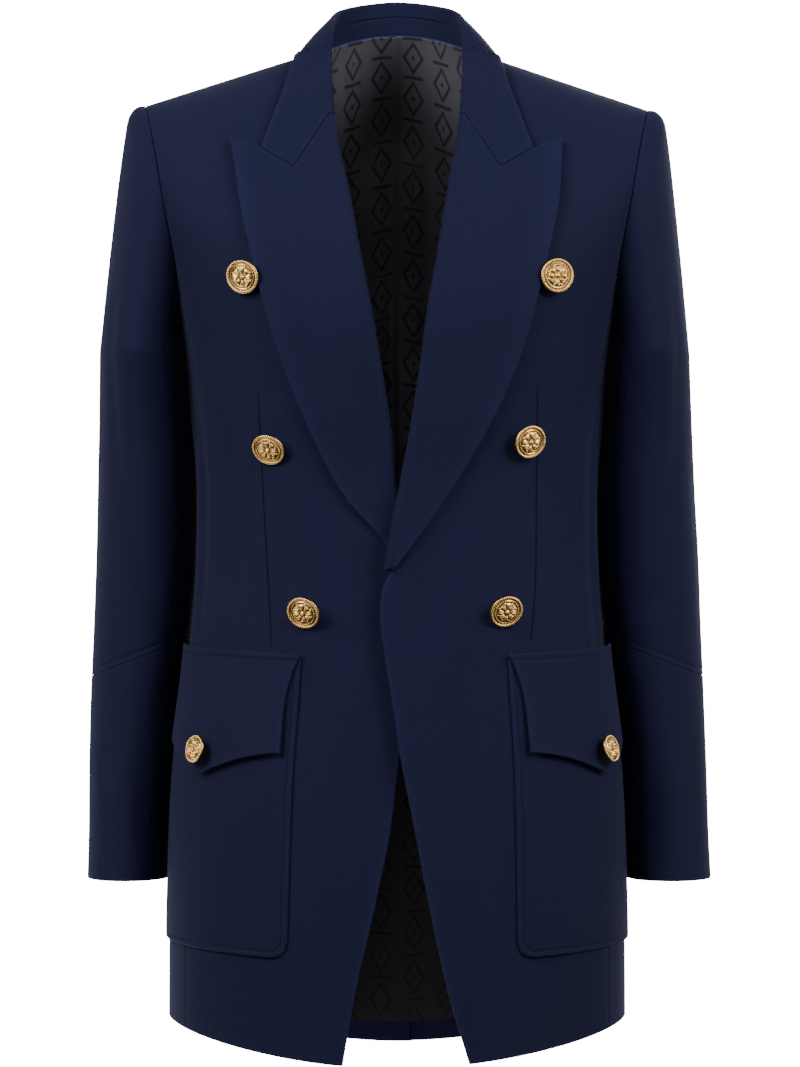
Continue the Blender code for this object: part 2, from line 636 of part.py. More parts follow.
def collar_frame(stations):
    """Seam and edge lines with the fold's centre, upward and outward direction and radius."""
    roll, seam, edge = collar_lines(stations)
    to_seam, to_edge = unit(seam - roll), unit(edge - roll)
    upward = -unit(to_seam + to_edge)
    outward = unit((to_edge - to_seam) - upward * np.sum((to_edge - to_seam) * upward, -1, keepdims=True))
    centre = roll - upward * (COLLAR_CLOTH + COLLAR_FOLD_RADIUS)
    return seam, edge, centre, upward, outward


def collar_stations():
    return np.linspace(0, 2 * COLLAR_END, COLLAR_COLUMNS)


def upper_collar():
    """Collar from the stand's seam up over the roll and down to its outer edge.

    At its front ends it takes up the lapels' own top rows, just above the gorge seam.
    """
    stations = collar_stations()
    seam, edge, centre, upward, outward = collar_frame(stations)
    inside = centre - outward * COLLAR_FOLD_RADIUS
    rows = [mix(seam, inside, STAND_SHARE) + unit(inside - seam) * STAND_GAP, mix(seam, inside, 0.85)]
    for bend in FOLD_BENDS:
        rows.append(centre + COLLAR_FOLD_RADIUS * (upward * math.cos(bend) + outward * math.sin(bend)))
    start = centre + COLLAR_FOLD_RADIUS * outward
    from_end = np.minimum(stations, 2 * COLLAR_END - stations)
    near_gorge = (np.clip(1 - from_end / COLLAR_SETTLES, 0, 1) ** 1.3)[:, None]
    for share in leaf_shares(RIGHT)[:COLLAR_LEAF_ROWS] / leaf_shares(RIGHT)[COLLAR_LEAF_ROWS - 1]:
        crown = 4 * COLLAR_CROWN * share * (1 - share)
        row = mix(start, edge, share) + (outward + 0.6 * upward) * crown * (1 - near_gorge)
        rows.append(keep_clear(row, FALL_LIFT))
    grid = np.stack(rows, axis=1)
    for side, end, reach in ((RIGHT, 0, stations), (LEFT, -1, 2 * COLLAR_END - stations)):
        top = lapel(side)[-1, :1 + len(FOLD_BENDS) + COLLAR_LEAF_ROWS]
        top = np.concatenate([top[:1], (top[:1] + top[1:2]) / 2, top[1:]]) + point(0, 0, 2 * GORGE_GAP)
        fade = np.interp(np.arange(len(top)), (0, 5, 9), (1.1, 1.6, COLLAR_SETTLES))[None, :]
        share = np.clip(1 - reach[:, None] / fade, 0, 1) ** 1.5
        grid = grid + share[:, :, None] * (top - grid[end])[None, :, :]
    return grid


def collar_stand():
    """Band inside the neck between the neck seam and the upper collar."""
    stations = collar_stations()[STAND_ENDS:-STAND_ENDS]
    seam, _, centre, _, outward = collar_frame(stations)
    inside = centre - outward * COLLAR_FOLD_RADIUS
    top = mix(seam, inside, STAND_SHARE) - unit(inside - seam) * STAND_GAP
    return np.stack([mix(seam, top, share) for share in (0.02, 0.5, 1)], axis=1)


# Sleeves

def sleeve_surface(turn, down, side):
    """Outer face of a sleeve at a turn in degrees round it and a distance down it.

    From 0 to 1 the cloth leaves the armhole outwards, rounds over and falls to the first full
    ring. From 1 to 2 it follows the sleeve's rings to the elbow seam, and from 2 to 3 to the cuff.
    """
    angle = np.radians(turn)
    sine, cosine = np.sin(angle), np.cos(angle)
    elbow = ELBOW_HEIGHT - ELBOW_SLANT * cosine
    height = np.where(down < 2, mix(SLEEVE_TOP, elbow, np.clip(down - 1, 0, 1)), mix(elbow, CUFF, down - 2))
    outer = through(SLEEVE, side_name(side) + "_outer", height)
    inner = through(SLEEVE, "inner", height)
    middle = through(SLEEVE, "centre", height)
    deep = through(SLEEVE, "half_depth", height)
    arm = point(side * ((outer + inner) / 2 + (outer - inner) / 2 * cosine), middle - deep * sine, height)

    root = armhole(turn, side)
    root = root + unit(point(side, -ROOT_AWAY[0] * sine, ROOT_AWAY[1] * cosine)) * ROOT_GAP
    head = np.clip((cosine - HEAD_TURN) / (1 - HEAD_TURN), 0, 1)
    reach = HEAD_REACH * head
    drop = HEAD_DROP * head
    outwards = unit(point(side, -HEAD_AWAY[0] * sine, HEAD_AWAY[1] * cosine))
    rounding = np.clip(down / HEAD_LENGTH, 0, 1) * math.pi / 2
    ledge = root + outwards * (reach * np.sin(rounding))[..., None]
    ledge = ledge + point(0, 0, -drop * (1 - np.cos(rounding)))
    settled = root + outwards * reach[..., None] + point(0, 0, -drop)
    fall = np.clip(down, 0, 1) ** (FALL_POWERS[0] + FALL_POWERS[1] * (1 + cosine) / 2)
    rest = arm - settled
    top = ledge + rest * np.stack([fall ** LEVEL_FALL, fall ** LEVEL_FALL, fall], axis=-1)
    return np.where((down < 1)[..., None], top, arm)


def sleeve_inner_face(turn, down, side):
    """The sleeve's surface moved inwards by its cloth."""
    step = 0.5
    around = sleeve_surface(turn + step, down, side) - sleeve_surface(turn - step, down, side)
    low = np.clip(down - 0.01, 0, 3)
    along = sleeve_surface(turn, np.clip(down + 0.01, 0, 3), side) - sleeve_surface(turn, low, side)
    inwards = unit(np.cross(along, around)) * side
    return sleeve_surface(turn, down, side) + inwards * SLEEVE_CLOTH


def sleeve_piece(side, first, last, downs, columns):
    """One cut piece of a sleeve between two turns, at the given distances down it."""
    turn = np.linspace(first + SLEEVE_GAP, last - SLEEVE_GAP, columns)[None, :] + 0 * downs[:, None]
    return sleeve_inner_face(turn, downs[:, None] + 0 * turn, side)


# Pockets

def turn_of_arc(arc):
    """Degrees from the centre front of a distance measured round the body at pocket height."""
    turns = np.linspace(0, 140, 281)
    along = ring(turns, np.full_like(turns, -600.0), RIGHT)
    lengths = np.concatenate([[0], np.cumsum(np.linalg.norm(np.diff(along, axis=0), axis=1))])
    return np.interp(arc, lengths, turns)


def patch_pocket(side, rows=8, columns=11):
    """Patch with round lower corners, laid on the front and side panels."""
    share = np.concatenate([[0, 0.025], np.linspace(0.08, 0.92, columns - 4), [0.975, 1]])[None, :]
    up = np.linspace(0, 1, rows)[:, None]
    arc = POCKET_ARC[side] + POCKET_WIDTH * share
    from_edge = POCKET_WIDTH * np.minimum(share, 1 - share)
    inside_corner = np.clip(POCKET_CORNER - from_edge, 0, POCKET_CORNER)
    rise = POCKET_CORNER - np.sqrt(POCKET_CORNER ** 2 - inside_corner ** 2)
    foot = POCKET_FOOT + POCKET_FOOT_RISE * share + rise
    height = mix(foot, POCKET_TOP + POCKET_TOP_RISE * share, up)
    arc = arc - POCKET_SKEW[side] * (1 - up) * (1 - share)
    return ring(turn_of_arc(arc), height, side, POCKET_LIFT)


def flap_lift(down, turn):
    """Lift of a flap's inner face: it stands off towards its lower edge, but less round the side."""
    return FLAP_LIFT + FLAP_STAND_OFF * down ** 1.5 * (1 - ease(*FLAP_SIDE_TURNS, turn))


def flap(side, rows=6, columns=11):
    """Pocket flap with hollowed sides and a central point, standing off at its lower edge."""
    across = np.linspace(-1, 1, columns)[None, :]
    down = np.linspace(0, 1, rows)[:, None]
    length = FLAP_LENGTH + FLAP_POINT * (1 - np.abs(across)) ** POINT_POWER
    drop = down * length
    hollow = FLAP_WAIST * (1 - (1 - np.clip(drop / WAIST_DROP, 0, 1)) ** 2)
    arc = POCKET_ARC[side] + POCKET_WIDTH / 2 + across * (POCKET_WIDTH / 2 - hollow)
    height = POCKET_TOP + FLAP_ABOVE + POCKET_TOP_RISE * (across + 1) / 2 - drop
    turn = turn_of_arc(arc)
    return ring(turn, height, side, flap_lift(down, turn))


# Buttons

def button_profile(radius):
    """Half outline of a domed button with a raised rim and a shank, from the top down."""
    return [(0, 3.4), (0.69 * radius, 2.4), (0.85 * radius, 3.0), (radius, 1.8), (radius - 0.9, 0.2),
            (2.2, -0.2), (2.0, -SHANK), (0, -SHANK)]


def button(collection, name, place, normal, radius, lean, swing):
    """Turned button whose shank ends just off the cloth at a place, hanging with its weight."""
    mesh = bpy.data.meshes.new(name)
    profile = [(x * MM, 0, z * MM) for x, z in button_profile(radius)]
    mesh.from_pydata(profile, [(i, i + 1) for i in range(len(profile) - 1)], [])
    mesh.materials.append(paint(name, GOLD, 0.25, 1.0))
    piece = bpy.data.objects.new(name, mesh)
    collection.objects.link(piece)
    turned = piece.modifiers.new("Turned", "SCREW")
    turned.steps = turned.render_steps = BUTTON_STEPS
    turned.use_merge_vertices = True
    turned.merge_threshold = 0.0001
    outwards = Vector(normal).normalized()
    level = Vector((0, 0, 1)).cross(outwards).normalized()
    upwards = outwards.cross(level)
    stand = Matrix((level, upwards, outwards)).transposed().to_4x4()
    tilt = Matrix.Rotation(math.radians(swing), 4, "Y") @ Matrix.Rotation(math.radians(lean), 4, "X")
    foot = Vector(place) * MM + outwards * (SHANK + SHANK_GAP) * MM
    piece.matrix_world = Matrix.Translation(foot) @ stand @ tilt
    return piece


# Building

def build_body(collection):
    for side in (LEFT, RIGHT):
        name = side_name(side)
        cloth(collection, f"front_{name}", front_panel(side), BODY_CLOTH, (side * 0.3, -1, 0))
        cloth(collection, f"side_panel_{name}", side_panel(side), BODY_CLOTH, (side, 0, 0))
        cloth(collection, f"back_{name}", back_panel(side), BODY_CLOTH, (0, 1, 0))
        cloth(collection, f"lapel_{name}", lapel(side), LAPEL_CLOTH, (0, -1, 0))
    cloth(collection, "lining_back", back_lining(), LINING_CLOTH, (0, 1, 0), SATIN, 0.4)


def build_collar(collection):
    cloth(collection, "upper_collar", upper_collar(), COLLAR_CLOTH, (0, 0, 1))
    cloth(collection, "collar_stand", collar_stand(), COLLAR_CLOTH, (0, -1, 0))


def build_sleeves(collection):
    upper = np.array(UPPER_DOWNS, dtype=float)
    lower = np.array(LOWER_DOWNS, dtype=float)
    upper[-1] -= HALF_SEAM / UPPER_SPAN
    lower[0] += HALF_SEAM / LOWER_SPAN
    for side in (LEFT, RIGHT):
        for part, first, last, columns in (("top_sleeve", HIND_SEAM - 360, FOREARM_SEAM, 15),
                                           ("under_sleeve", FOREARM_SEAM, HIND_SEAM, 8)):
            facing = (side, 0, 0) if part == "top_sleeve" else (-side, 0, 0)
            for length, downs in (("upper", upper), ("lower", lower)):
                name = f"{part}_{length}_{side_name(side)}"
                grid = sleeve_piece(side, first, last, downs, columns)
                cloth(collection, name, grid, SLEEVE_CLOTH, facing)


def build_pockets(collection):
    for side in (LEFT, RIGHT):
        name = side_name(side)
        cloth(collection, f"pocket_{name}", patch_pocket(side), POCKET_CLOTH, (side, -0.6, 0))
        cloth(collection, f"flap_{name}", flap(side), FLAP_CLOTH, (side, -0.6, 0))


def build_buttons(collection):
    for row in BUTTONS:
        side = LEFT if row.x < 0 else RIGHT
        lift = float(front_lap(row.x, row.height, side))
        place = wall(row.x, row.height, FRONT, lift)
        normal = wall_normal(row.x, row.height, FRONT)
        button(collection, row.name, place, normal, BUTTON_RADIUS, row.lean, side * row.swing)
    for side in (LEFT, RIGHT):
        turn = turn_of_arc(POCKET_ARC[side] + POCKET_WIDTH / 2)
        lift = flap_lift(FLAP_BUTTON_DROP / (FLAP_LENGTH + FLAP_POINT), turn) + FLAP_CLOTH
        height = POCKET_TOP + FLAP_ABOVE + POCKET_TOP_RISE / 2 - FLAP_BUTTON_DROP
        place = ring(turn, height, side, lift)
        normal = ring_normal(turn, height, side)
        button(collection, f"button_flap_{side_name(side)}", place, normal, FLAP_BUTTON_RADIUS,
               FLAP_BUTTON_LEAN, side * FLAP_BUTTON_SWING)


def main():
    for old in list(bpy.context.scene.objects):
        bpy.data.objects.remove(old, do_unlink=True)
    blazer = new_collection("double_breasted_blazer")
    build_body(blazer)
    build_collar(blazer)
    build_sleeves(blazer)
    build_pockets(blazer)
    build_buttons(blazer)


main()
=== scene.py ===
"""Double breasted blazer: worsted cloth, lining, seams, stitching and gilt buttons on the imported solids.

Laid out as an add-on and run as a script. Tables and shapes are in millimetres, meshes in metres.
Left and right are the viewer's, seen from the front. A turn is an angle in degrees: round the body
from the centre front, with the viewer's left negative, or round a sleeve from its outer side.
"""
import math
from collections import namedtuple
from functools import partial, partialmethod

import bpy
import numpy as np
from bpy.props import FloatProperty, FloatVectorProperty, IntProperty, PointerProperty
from mathutils import Matrix, Vector


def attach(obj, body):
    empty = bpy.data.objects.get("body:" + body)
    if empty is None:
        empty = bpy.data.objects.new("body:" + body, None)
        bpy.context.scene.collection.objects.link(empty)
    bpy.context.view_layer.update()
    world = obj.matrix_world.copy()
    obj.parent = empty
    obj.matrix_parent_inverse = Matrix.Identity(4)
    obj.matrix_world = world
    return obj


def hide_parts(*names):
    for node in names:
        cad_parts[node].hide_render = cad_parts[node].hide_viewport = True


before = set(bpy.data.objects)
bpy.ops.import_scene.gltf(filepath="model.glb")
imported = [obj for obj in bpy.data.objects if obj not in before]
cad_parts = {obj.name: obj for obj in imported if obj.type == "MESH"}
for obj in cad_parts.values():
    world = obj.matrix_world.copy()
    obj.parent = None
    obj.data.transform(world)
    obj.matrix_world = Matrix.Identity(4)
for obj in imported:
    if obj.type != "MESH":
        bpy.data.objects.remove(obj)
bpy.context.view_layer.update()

bl_info = {
    "name": "Double breasted blazer",
    "version": (1, 0, 0),
    "blender": (4, 5, 0),
    "location": "View3D > Sidebar > Blazer",
    "description": "Builds the cloth, lining, stitching and buttons of a double breasted blazer",
    "category": "Object",
}

MM = 0.001
LEFT, RIGHT = -1, 1
FRONT, BACK = -1, 1

# Cloth as the solids have it
BODY_CLOTH, LAPEL_CLOTH, COLLAR_CLOTH = 2.4, 1.6, 1.8
SLEEVE_CLOTH, POCKET_CLOTH, FLAP_CLOTH, LINING_CLOTH = 2.0, 1.6, 2.0, 1.0
HALF_SEAM = 0.15
SEAM = 2 * HALF_SEAM

# Shoulders, neck and armholes
SHOULDER_SLOPE, SHOULDER_TILT = 0.3265, 0.009
NECK_HALF_WIDTH, NECK_POINT_HEIGHT, BACK_NECK_HEIGHT = 62, 4.2, 24
SHOULDER_HALF_WIDTH, NECK_RISE = 199, 55
FRONT_ROUNDING, BACK_ROUNDING = (230, 130), (130, 120)
NECK_RISE_POWER, ROUNDING_AT, ROUNDING_POWER = 1.3, (60, 185), 0.7
ARMHOLE_JOIN_HEIGHT, ARMPIT_DROP = -195, 20
FRONT_JOIN_TURN, BACK_JOIN_TURN = 140, 220

# Seams and hem
FRONT_SEAM_TURN, BACK_SEAM_TURN, SEAM_SPREAD = 61, 58, (-350, -195)
SIDE_HEM, FRONT_HEM_DROP, BACK_HEM_DROP, HEM_POWER = -756, 30, 35, 2.3
EDGE_FADE = 8                 # a panel's hem and neck curves fade into its rows with this power
VENT_TOP, VENT_LAP, VENT_TUCK, VENT_FADE = -560, 22, (4, 44), (50, 120)
LINING_HEM_RISE, LINING_HEM_FADE, LINING_HANG, HANG_FADE = 16, 90, 4.0, (40, 160)
PLEAT_DEPTH, PLEAT_WIDTH, PLEAT_HEIGHTS = 2.4, 14, (-560, -380)

# Front closing and lapels
LAP, LAP_REACH, LAP_FADE = 5.0, (14, 60), (-340, -150)
GORGE_HEIGHT, LAPEL_FOOT = -51, {LEFT: -396, RIGHT: -406}
ROLL_PULL, PULL_HEIGHTS, STAND_PULL = 3.6, {LEFT: (-450, -412), RIGHT: (-420, -409)}, 6.0
LEAF_LIFT, LEG_CLEARANCE, FOLD_FULLNESS = 1.7, 1.0, 0.9
FOLD_RADIUS = (LEAF_LIFT + FOLD_FULLNESS + BODY_CLOTH + LEG_CLEARANCE) / 2
STAND_PULL_HEIGHTS, NECK_CLIMB = (GORGE_HEIGHT - 35, GORGE_HEIGHT - 5), 0.7
GORGE_GAP, NOTCH, NOTCH_FADE, NOTCH_POWER = 0.25, ((77, -93.5), (104, -79)), 0.3, 1.5
FOLD_FADE, PEAK_LIFT, PEAK_WIDTH, LEG_REACH, LEAF_RISE = 8, 1.8, 60, 4, 3
LEAF_CELLS = (12, 12, 9)      # columns from the roll line to the gorge's foot, the collar and the peak
LEG_CELLS, BEND_CELLS = 3, 8

# Pockets
POCKET_ARC, POCKET_WIDTH = {LEFT: 80, RIGHT: 93}, 158
POCKET_TOP, POCKET_FOOT, POCKET_LIFT, POCKET_CORNER = -474, -703, 1.3, 14.0
POCKET_SKEW = {LEFT: -3.5, RIGHT: 1.0}
POCKET_FOOT_RISE, POCKET_TOP_RISE, POCKET_RING = 10, 6, -600.0
FLAP_LIFT, FLAP_STAND_OFF, FLAP_LENGTH, FLAP_POINT, FLAP_WAIST = 3.6, 3.6, 76, 20, 10.7
FLAP_ABOVE, FLAP_TILT, FLAP_SIDE_TURNS = 4, 3, (58, 84)
POINT_POWER, WAIST_DROP, FLAP_BUTTON_DROP = 1.6, 45, 2

# Buttons, whose relief is drawn at a radius of 12.5 mm and scaled
RELIEF_RADIUS, RIM_START, CORD_CENTRE, CORD_RADIUS = 12.5, 9.95, 11.2, 1.28
BUTTON_RADIUS, FLAP_BUTTON_RADIUS, SHANK, SHANK_GAP = 13.5, 10.8, 6.2, 0.6

Section = namedtuple("Section", "height half_width front_depth back_depth squareness")
SECTIONS = (
    Section(60, 218, 104, 94, 2.8),
    Section(-45, 215, 110, 99, 2.8),
    Section(-115, 200, 114, 104, 2.7),
    Section(-170, 181, 119, 108, 2.55),
    Section(-215, 170.5, 120, 107, 2.5),
    Section(-272, 162, 117, 101, 2.4),
    Section(-335, 158.5, 113, 94, 2.3),
    Section(-398, 159, 114, 94, 2.3),
    Section(-470, 164, 118, 101, 2.35),
    Section(-557, 174.5, 124, 111, 2.4),
    Section(-656, 179, 129, 117, 2.4),
    Section(-800, 180.5, 132, 120, 2.4),
)


def rows_of(kind, rows):
    """A table's rows, with names for their columns."""
    return tuple(kind(*row) for row in rows)


EdgeRow = namedtuple("EdgeRow", "height left right")
# Front edge, then the lapel's roll line, from the hem to the gorge
FRONT_LINE = rows_of(EdgeRow, (
    (-786, -42, 56), (-723, -31, 38), (-658, -16, 24), (-597, -4, 12), (-551, 2, 3), (-505, 8, -4),
    (-467, 12, -10), (-440, 13, -13), (-412, 11, -10.5), (-372, 5, -4.5), (-335, 1, 2.5),
    (-298, -4, 9.5), (-260, -10, 15.5), (-206, -19, 23), (-159, -28, 31), (-115, -36, 38),
    (-79, -44, 44.5), (-51, -48.5, 48.5),
))
# Outer edge of the lapel, from its foot to the peak
LAPEL_EDGE = rows_of(EdgeRow, (
    (-408, 6, -5), (-394, -3, 6), (-380, -12, 16), (-367, -24, 25), (-352, -37.5, 35),
    (-329, -51.5, 50), (-306, -62.5, 63.5), (-283, -72.5, 75.5), (-237, -90, 94.5),
    (-190, -104, 108), (-143, -116, 119.5), (-119, -121, 124.5), (-91, -125.5, 126.5),
    (-71.5, -129, 127.5),
))
# Centre of the dart in each front
DART = rows_of(EdgeRow, (
    (-480, -97, 103), (-462, -97, 103), (-420, -99, 106), (-352, -103, 107), (-306, -105, 107.5),
    (-266, -107, 108), (-240, -107, 108),
))
DART_ENDS, DART_FADE = {LEFT: (-472, -262), RIGHT: (-468, -255)}, 14
DART_SEAM = (0.55, 0.55)      # depth and width of the sunk line, then of the soft hollow beside it
DART_HOLLOW = (0.25, 5)
DART_COLUMNS = (-2.6, -1.4, -0.7, -0.3, 0, 0.3, 0.7, 1.4, 2.6)

# About how long a panel is along a row or a column of cells, which sets how many it has
SPAN_BEFORE_DART, SPAN_BEHIND_DART, SIDE_RISE, SIDE_SPAN, BACK_SPAN = 115, 75, 560, 195, 180
FRONT_HEM_LIFT = 1.5

ArmholeRow = namedtuple("ArmholeRow", "height front back")
# Distance of the armhole seam from the centre
ARMHOLE = rows_of(ArmholeRow, (
    (-195, 169.7, 168.2), (-163, 173.5, 178), (-142, 177.5, 183.5), (-114, 183, 188),
    (-86, 188, 192), (-60, 193.5, 196), (-38, 199, 199),
))

SleeveRow = namedtuple("SleeveRow", "height left_outer right_outer inner centre half_depth")
SLEEVE = (
    SleeveRow(-235, 235.5, 231.5, 169, 6, 70),
    SleeveRow(-290, 237, 234.5, 160.9, 22, 68),
    SleeveRow(-343, 238.8, 237.4, 158, 29, 66),
    SleeveRow(-400, 240.5, 240.8, 158.4, 32, 63),
    SleeveRow(-460, 243, 243, 163.4, 34, 61),
    SleeveRow(-510, 244.5, 244.8, 169.6, 32, 58),
    SleeveRow(-560, 245.3, 246.4, 175.4, 27, 55),
    SleeveRow(-620, 245.4, 248, 180, 21, 52),
    SleeveRow(-650, 246, 249.3, 181.6, 17, 50),
)
SLEEVE_TOP, CUFF = SLEEVE[0].height, SLEEVE[-1].height
FOREARM_SEAM, HIND_SEAM = 125, 250
ELBOW_HEIGHT, ELBOW_SLANT = -475, 15
HEAD_REACH, HEAD_DROP, HEAD_SPREAD = 12.8, 6.8, 0.6
LEDGE_END, FALL_POWER, FALL_EXTRA, FALL_REACH = 0.25, 1.3, 0.35, 0.8
SLEEVE_GAP_RADIUS = 60        # the gap at a sleeve's seams is an angle, worked out at this radius

CollarRow = namedtuple("CollarRow", "station roll_x roll_y roll_z seam_x seam_z edge_x edge_z face")
COLLAR = (                    # half the collar, from the gorge round to the centre back
    CollarRow(0, 48.5, -62, -51, 53, -57, 104, -79, FRONT),
    CollarRow(1, 50.5, -49, -26, 58, -34, 94.5, -50, FRONT),
    CollarRow(2, 51.5, -25, -2, 60.8, -9, 88, -31, FRONT),
    CollarRow(3, 51, 0, 24, 61.6, 4.2, 81.5, -9, FRONT),
    CollarRow(4, 49, 18, 35, 58, 6.7, 75, -4.5, BACK),
    CollarRow(5, 42.5, 34, 41.5, 48, 12.1, 62, -8, BACK),
    CollarRow(6, 25, 50, 47, 26, 20.5, 36, 0, BACK),
    CollarRow(7, 0, 57, 50, 0, 24, 0, 4, BACK),
)
COLLAR_END = COLLAR[-1].station
COLLAR_FOLD_RADIUS, COLLAR_CROWN, FALL_LIFT = 1.5, 1.6, 2.3
STAND_SHARE, STAND_GAP, STAND_ENDS = 0.6, 0.3, 7 / 6
COLLAR_ROWS, STAND_ROWS, CROWN_RISE, END_REACH, END_POWER = 181, 141, 0.6, 2.2, 1.3
END_FADES = (1.1, 1.6, 2.2)   # stations over which the ends fade, from the leg over the fold to the leaf

# A button's face leans down and swings away from the centre by these degrees
ButtonRow = namedtuple("ButtonRow", "name x height lean swing")
BUTTONS = (
    ButtonRow("button_left_top", -115.8, -179.5, 16, 0),
    ButtonRow("button_left_middle", -95.6, -311.3, 28, -2),
    ButtonRow("button_left_low", -69.6, -438, 29, 9),
    ButtonRow("button_right_top", 120.2, -178.5, 3, -5),
    ButtonRow("button_right_middle", 98.9, -305.5, 12, 4),
    ButtonRow("button_right_low", 81.5, -437, 30, 4),
)
FLAP_BUTTON_LEAN, FLAP_BUTTON_SWING = -6, 5

# Soft troughs (depth below 0) and ridges, each along a line from its first to its last place
Fold = namedtuple("Fold", "turn height end_turn end_height width depth")
BODY_FOLDS = rows_of(Fold, (
    (-22, -270, -16, -480, 16, -1.4), (-31, -230, -27, -520, 15, 1.3),
    (-50, -250, -47, -480, 13, -1.8), (19, -300, 3, -500, 15, -1.8), (30, -330, 9, -520, 17, 1.6),
    (42, -200, 38, -520, 14, 1.4), (54, -240, 52, -500, 12, -1.6), (-19, -520, -25, -760, 20, 1.4),
    (12, -560, 20, -790, 24, 1.5), (-8, -430, -34, -560, 14, -1.1),
    (-70, -250, -68, -480, 11, -1.8), (-84, -190, -84, -335, 13, 2.4),
    (-97, -430, -93, -700, 17, 0.8), (70, -250, 69, -500, 11, -1.6), (84, -190, 84, -335, 13, 2.4),
    (98, -430, 95, -680, 16, 0.8), (-128, -240, -136, -470, 17, -2.0),
    (-146, -180, -152, -420, 20, 1.7), (-160, -330, -166, -560, 18, -1.5),
    (127, -230, 138, -450, 16, -2.1), (149, -190, 154, -440, 21, 1.6),
    (163, -350, 168, -600, 19, -1.6), (-140, -560, -147, -800, 24, 1.6),
    (138, -540, 150, -800, 26, 1.4),
))
LEFT_SLEEVE_FOLDS = rows_of(Fold, (
    (40, -150, 62, -380, 9, -1.3), (85, -210, 100, -420, 10, 1.2), (18, -300, 6, -520, 12, -0.8),
    (70, -400, 118, -452, 8, -1.3), (100, -440, 150, -475, 8, -1.2), (52, -520, 66, -660, 12, -1.0),
    (105, -500, 112, -660, 10, -1.0), (-60, -160, -72, -380, 12, -1.6),
    (-100, -380, -60, -450, 10, 1.2), (-78, -520, -70, -660, 13, 1.1),
    (160, -260, 150, -430, 12, -1.4), (205, -280, 215, -460, 13, -1.2),
))
RIGHT_SLEEVE_FOLDS = rows_of(Fold, (
    (46, -160, 58, -360, 10, -1.2), (82, -230, 104, -430, 9, 1.3), (22, -280, 12, -500, 12, -0.9),
    (66, -420, 120, -440, 8, -1.2), (96, -462, 150, -470, 9, -1.1), (48, -500, 58, -650, 13, -1.1),
    (100, -520, 116, -670, 10, -0.9), (-55, -170, -80, -370, 13, -1.5),
    (-96, -400, -58, -440, 9, 1.2), (-74, -530, -82, -670, 13, 1.2),
    (156, -250, 148, -420, 13, -1.3), (210, -270, 218, -450, 12, -1.3),
))
HEM_PAINTED_LIGHT = 7.0               # painted light: the back's inner face is this many times lighter than the outer cloth, standing in for light that barely reaches the hem band
LINING_SHADE_HEIGHTS = (-0.30, -0.72)    # painted shade: the ground of the lining darkens between these heights, in metres, where less light reaches inside the coat
LINING_FOLDS = rows_of(Fold, (
    (-52, 24, -42, -190, 3.5, 2.0), (-41, 26, -33, -150, 2.6, 1.6), (-30, 26, -26, -110, 2.4, 1.2),
    (-58, -40, -66, -260, 6, 2.4), (42, 10, 50, -220, 5, 2.2), (16, -30, 12, -300, 6, 1.8),
    (70, -160, 82, -420, 9, 2.4), (-84, -200, -70, -460, 9, 2.2),
))
BODY_STEP = 2.9               # millimetres to a degree round the body, and round a sleeve
SLEEVE_STEP = 1.0


# Tables and small sums

def through(rows, name, at, key="height"):
    """Read a table's column at any place, on a smooth curve through its rows."""
    knots = np.array([getattr(row, key) for row in rows], dtype=float)
    values = np.array([getattr(row, name) for row in rows], dtype=float)
    if knots[0] > knots[-1]:
        knots, values = knots[::-1], values[::-1]
    slopes = np.gradient(values, knots)
    at = np.clip(at, knots[0], knots[-1])
    low = np.clip(np.searchsorted(knots, at) - 1, 0, len(knots) - 2)
    span = knots[low + 1] - knots[low]
    t = (at - knots[low]) / span
    rise = values[low + 1] - values[low]
    leave = slopes[low] * span - rise
    arrive = rise - slopes[low + 1] * span
    return values[low] + t * rise + t * (1 - t) * ((1 - t) * leave + t * arrive)


def mix(start, end, share):
    return start + (end - start) * share


def ease(low, high, value):
    """Rise smoothly from 0 at low to 1 at high."""
    t = np.clip((value - low) / (high - low), 0, 1)
    return t * t * (3 - 2 * t)


def point(x, y, z):
    return np.stack(np.broadcast_arrays(x, y, z), axis=-1).astype(float)


def side_name(side):
    return "left" if side == LEFT else "right"


def unit(vectors):
    return vectors / np.maximum(np.linalg.norm(vectors, axis=-1, keepdims=True), 1e-12)


def folds(rows, turn, height, step):
    """Sum of folds: each is a bell across a straight line that fades in and out along it."""
    total = np.zeros(np.broadcast(turn, height).shape)
    for row in rows:
        run, rise = (row.end_turn - row.turn) * step, row.end_height - row.height
        length = math.hypot(run, rise)
        across = ((turn - row.turn + 180) % 360 - 180) * step
        along = height - row.height
        share = (across * run + along * rise) / length ** 2
        beside = (across * rise - along * run) / length
        fade = ease(0, 0.35, share) * (1 - ease(0.65, 1, share))
        total = total + row.depth * fade * np.exp(-(beside / row.width) ** 2)
    return total


# The body's form

def ridge_height(x, face):
    """Height of the shoulder line. The back's own ridge climbs inside the neck."""
    reach = np.maximum(np.abs(x), NECK_HALF_WIDTH)
    height = NECK_POINT_HEIGHT - SHOULDER_SLOPE * (reach - NECK_HALF_WIDTH) - SHOULDER_TILT * x
    if face == BACK:
        height = height + NECK_RISE * np.clip(1 - (x / NECK_HALF_WIDTH) ** 2, 0, 1) ** NECK_RISE_POWER
    return height


def on_wall(x, height, face):
    """Point of the front or back cloth's outer face at x and height.

    Level sections are superellipses. Towards the shoulder line the depth falls away to nothing.
    """
    half_width = through(SECTIONS, "half_width", height)
    depth = through(SECTIONS, "front_depth" if face == FRONT else "back_depth", height)
    power = through(SECTIONS, "squareness", height)
    fullness = (1 - np.clip(np.abs(x) / half_width, 0, 1) ** power) ** (1 / power)
    over = np.interp(np.abs(x), ROUNDING_AT, FRONT_ROUNDING if face == FRONT else BACK_ROUNDING)
    below = np.clip((ridge_height(x, face) - height) / over, 0, 1)
    depth = depth * fullness * (1 - (1 - below) ** 2) ** ROUNDING_POWER
    return point(x, face * (HALF_SEAM + depth), height)


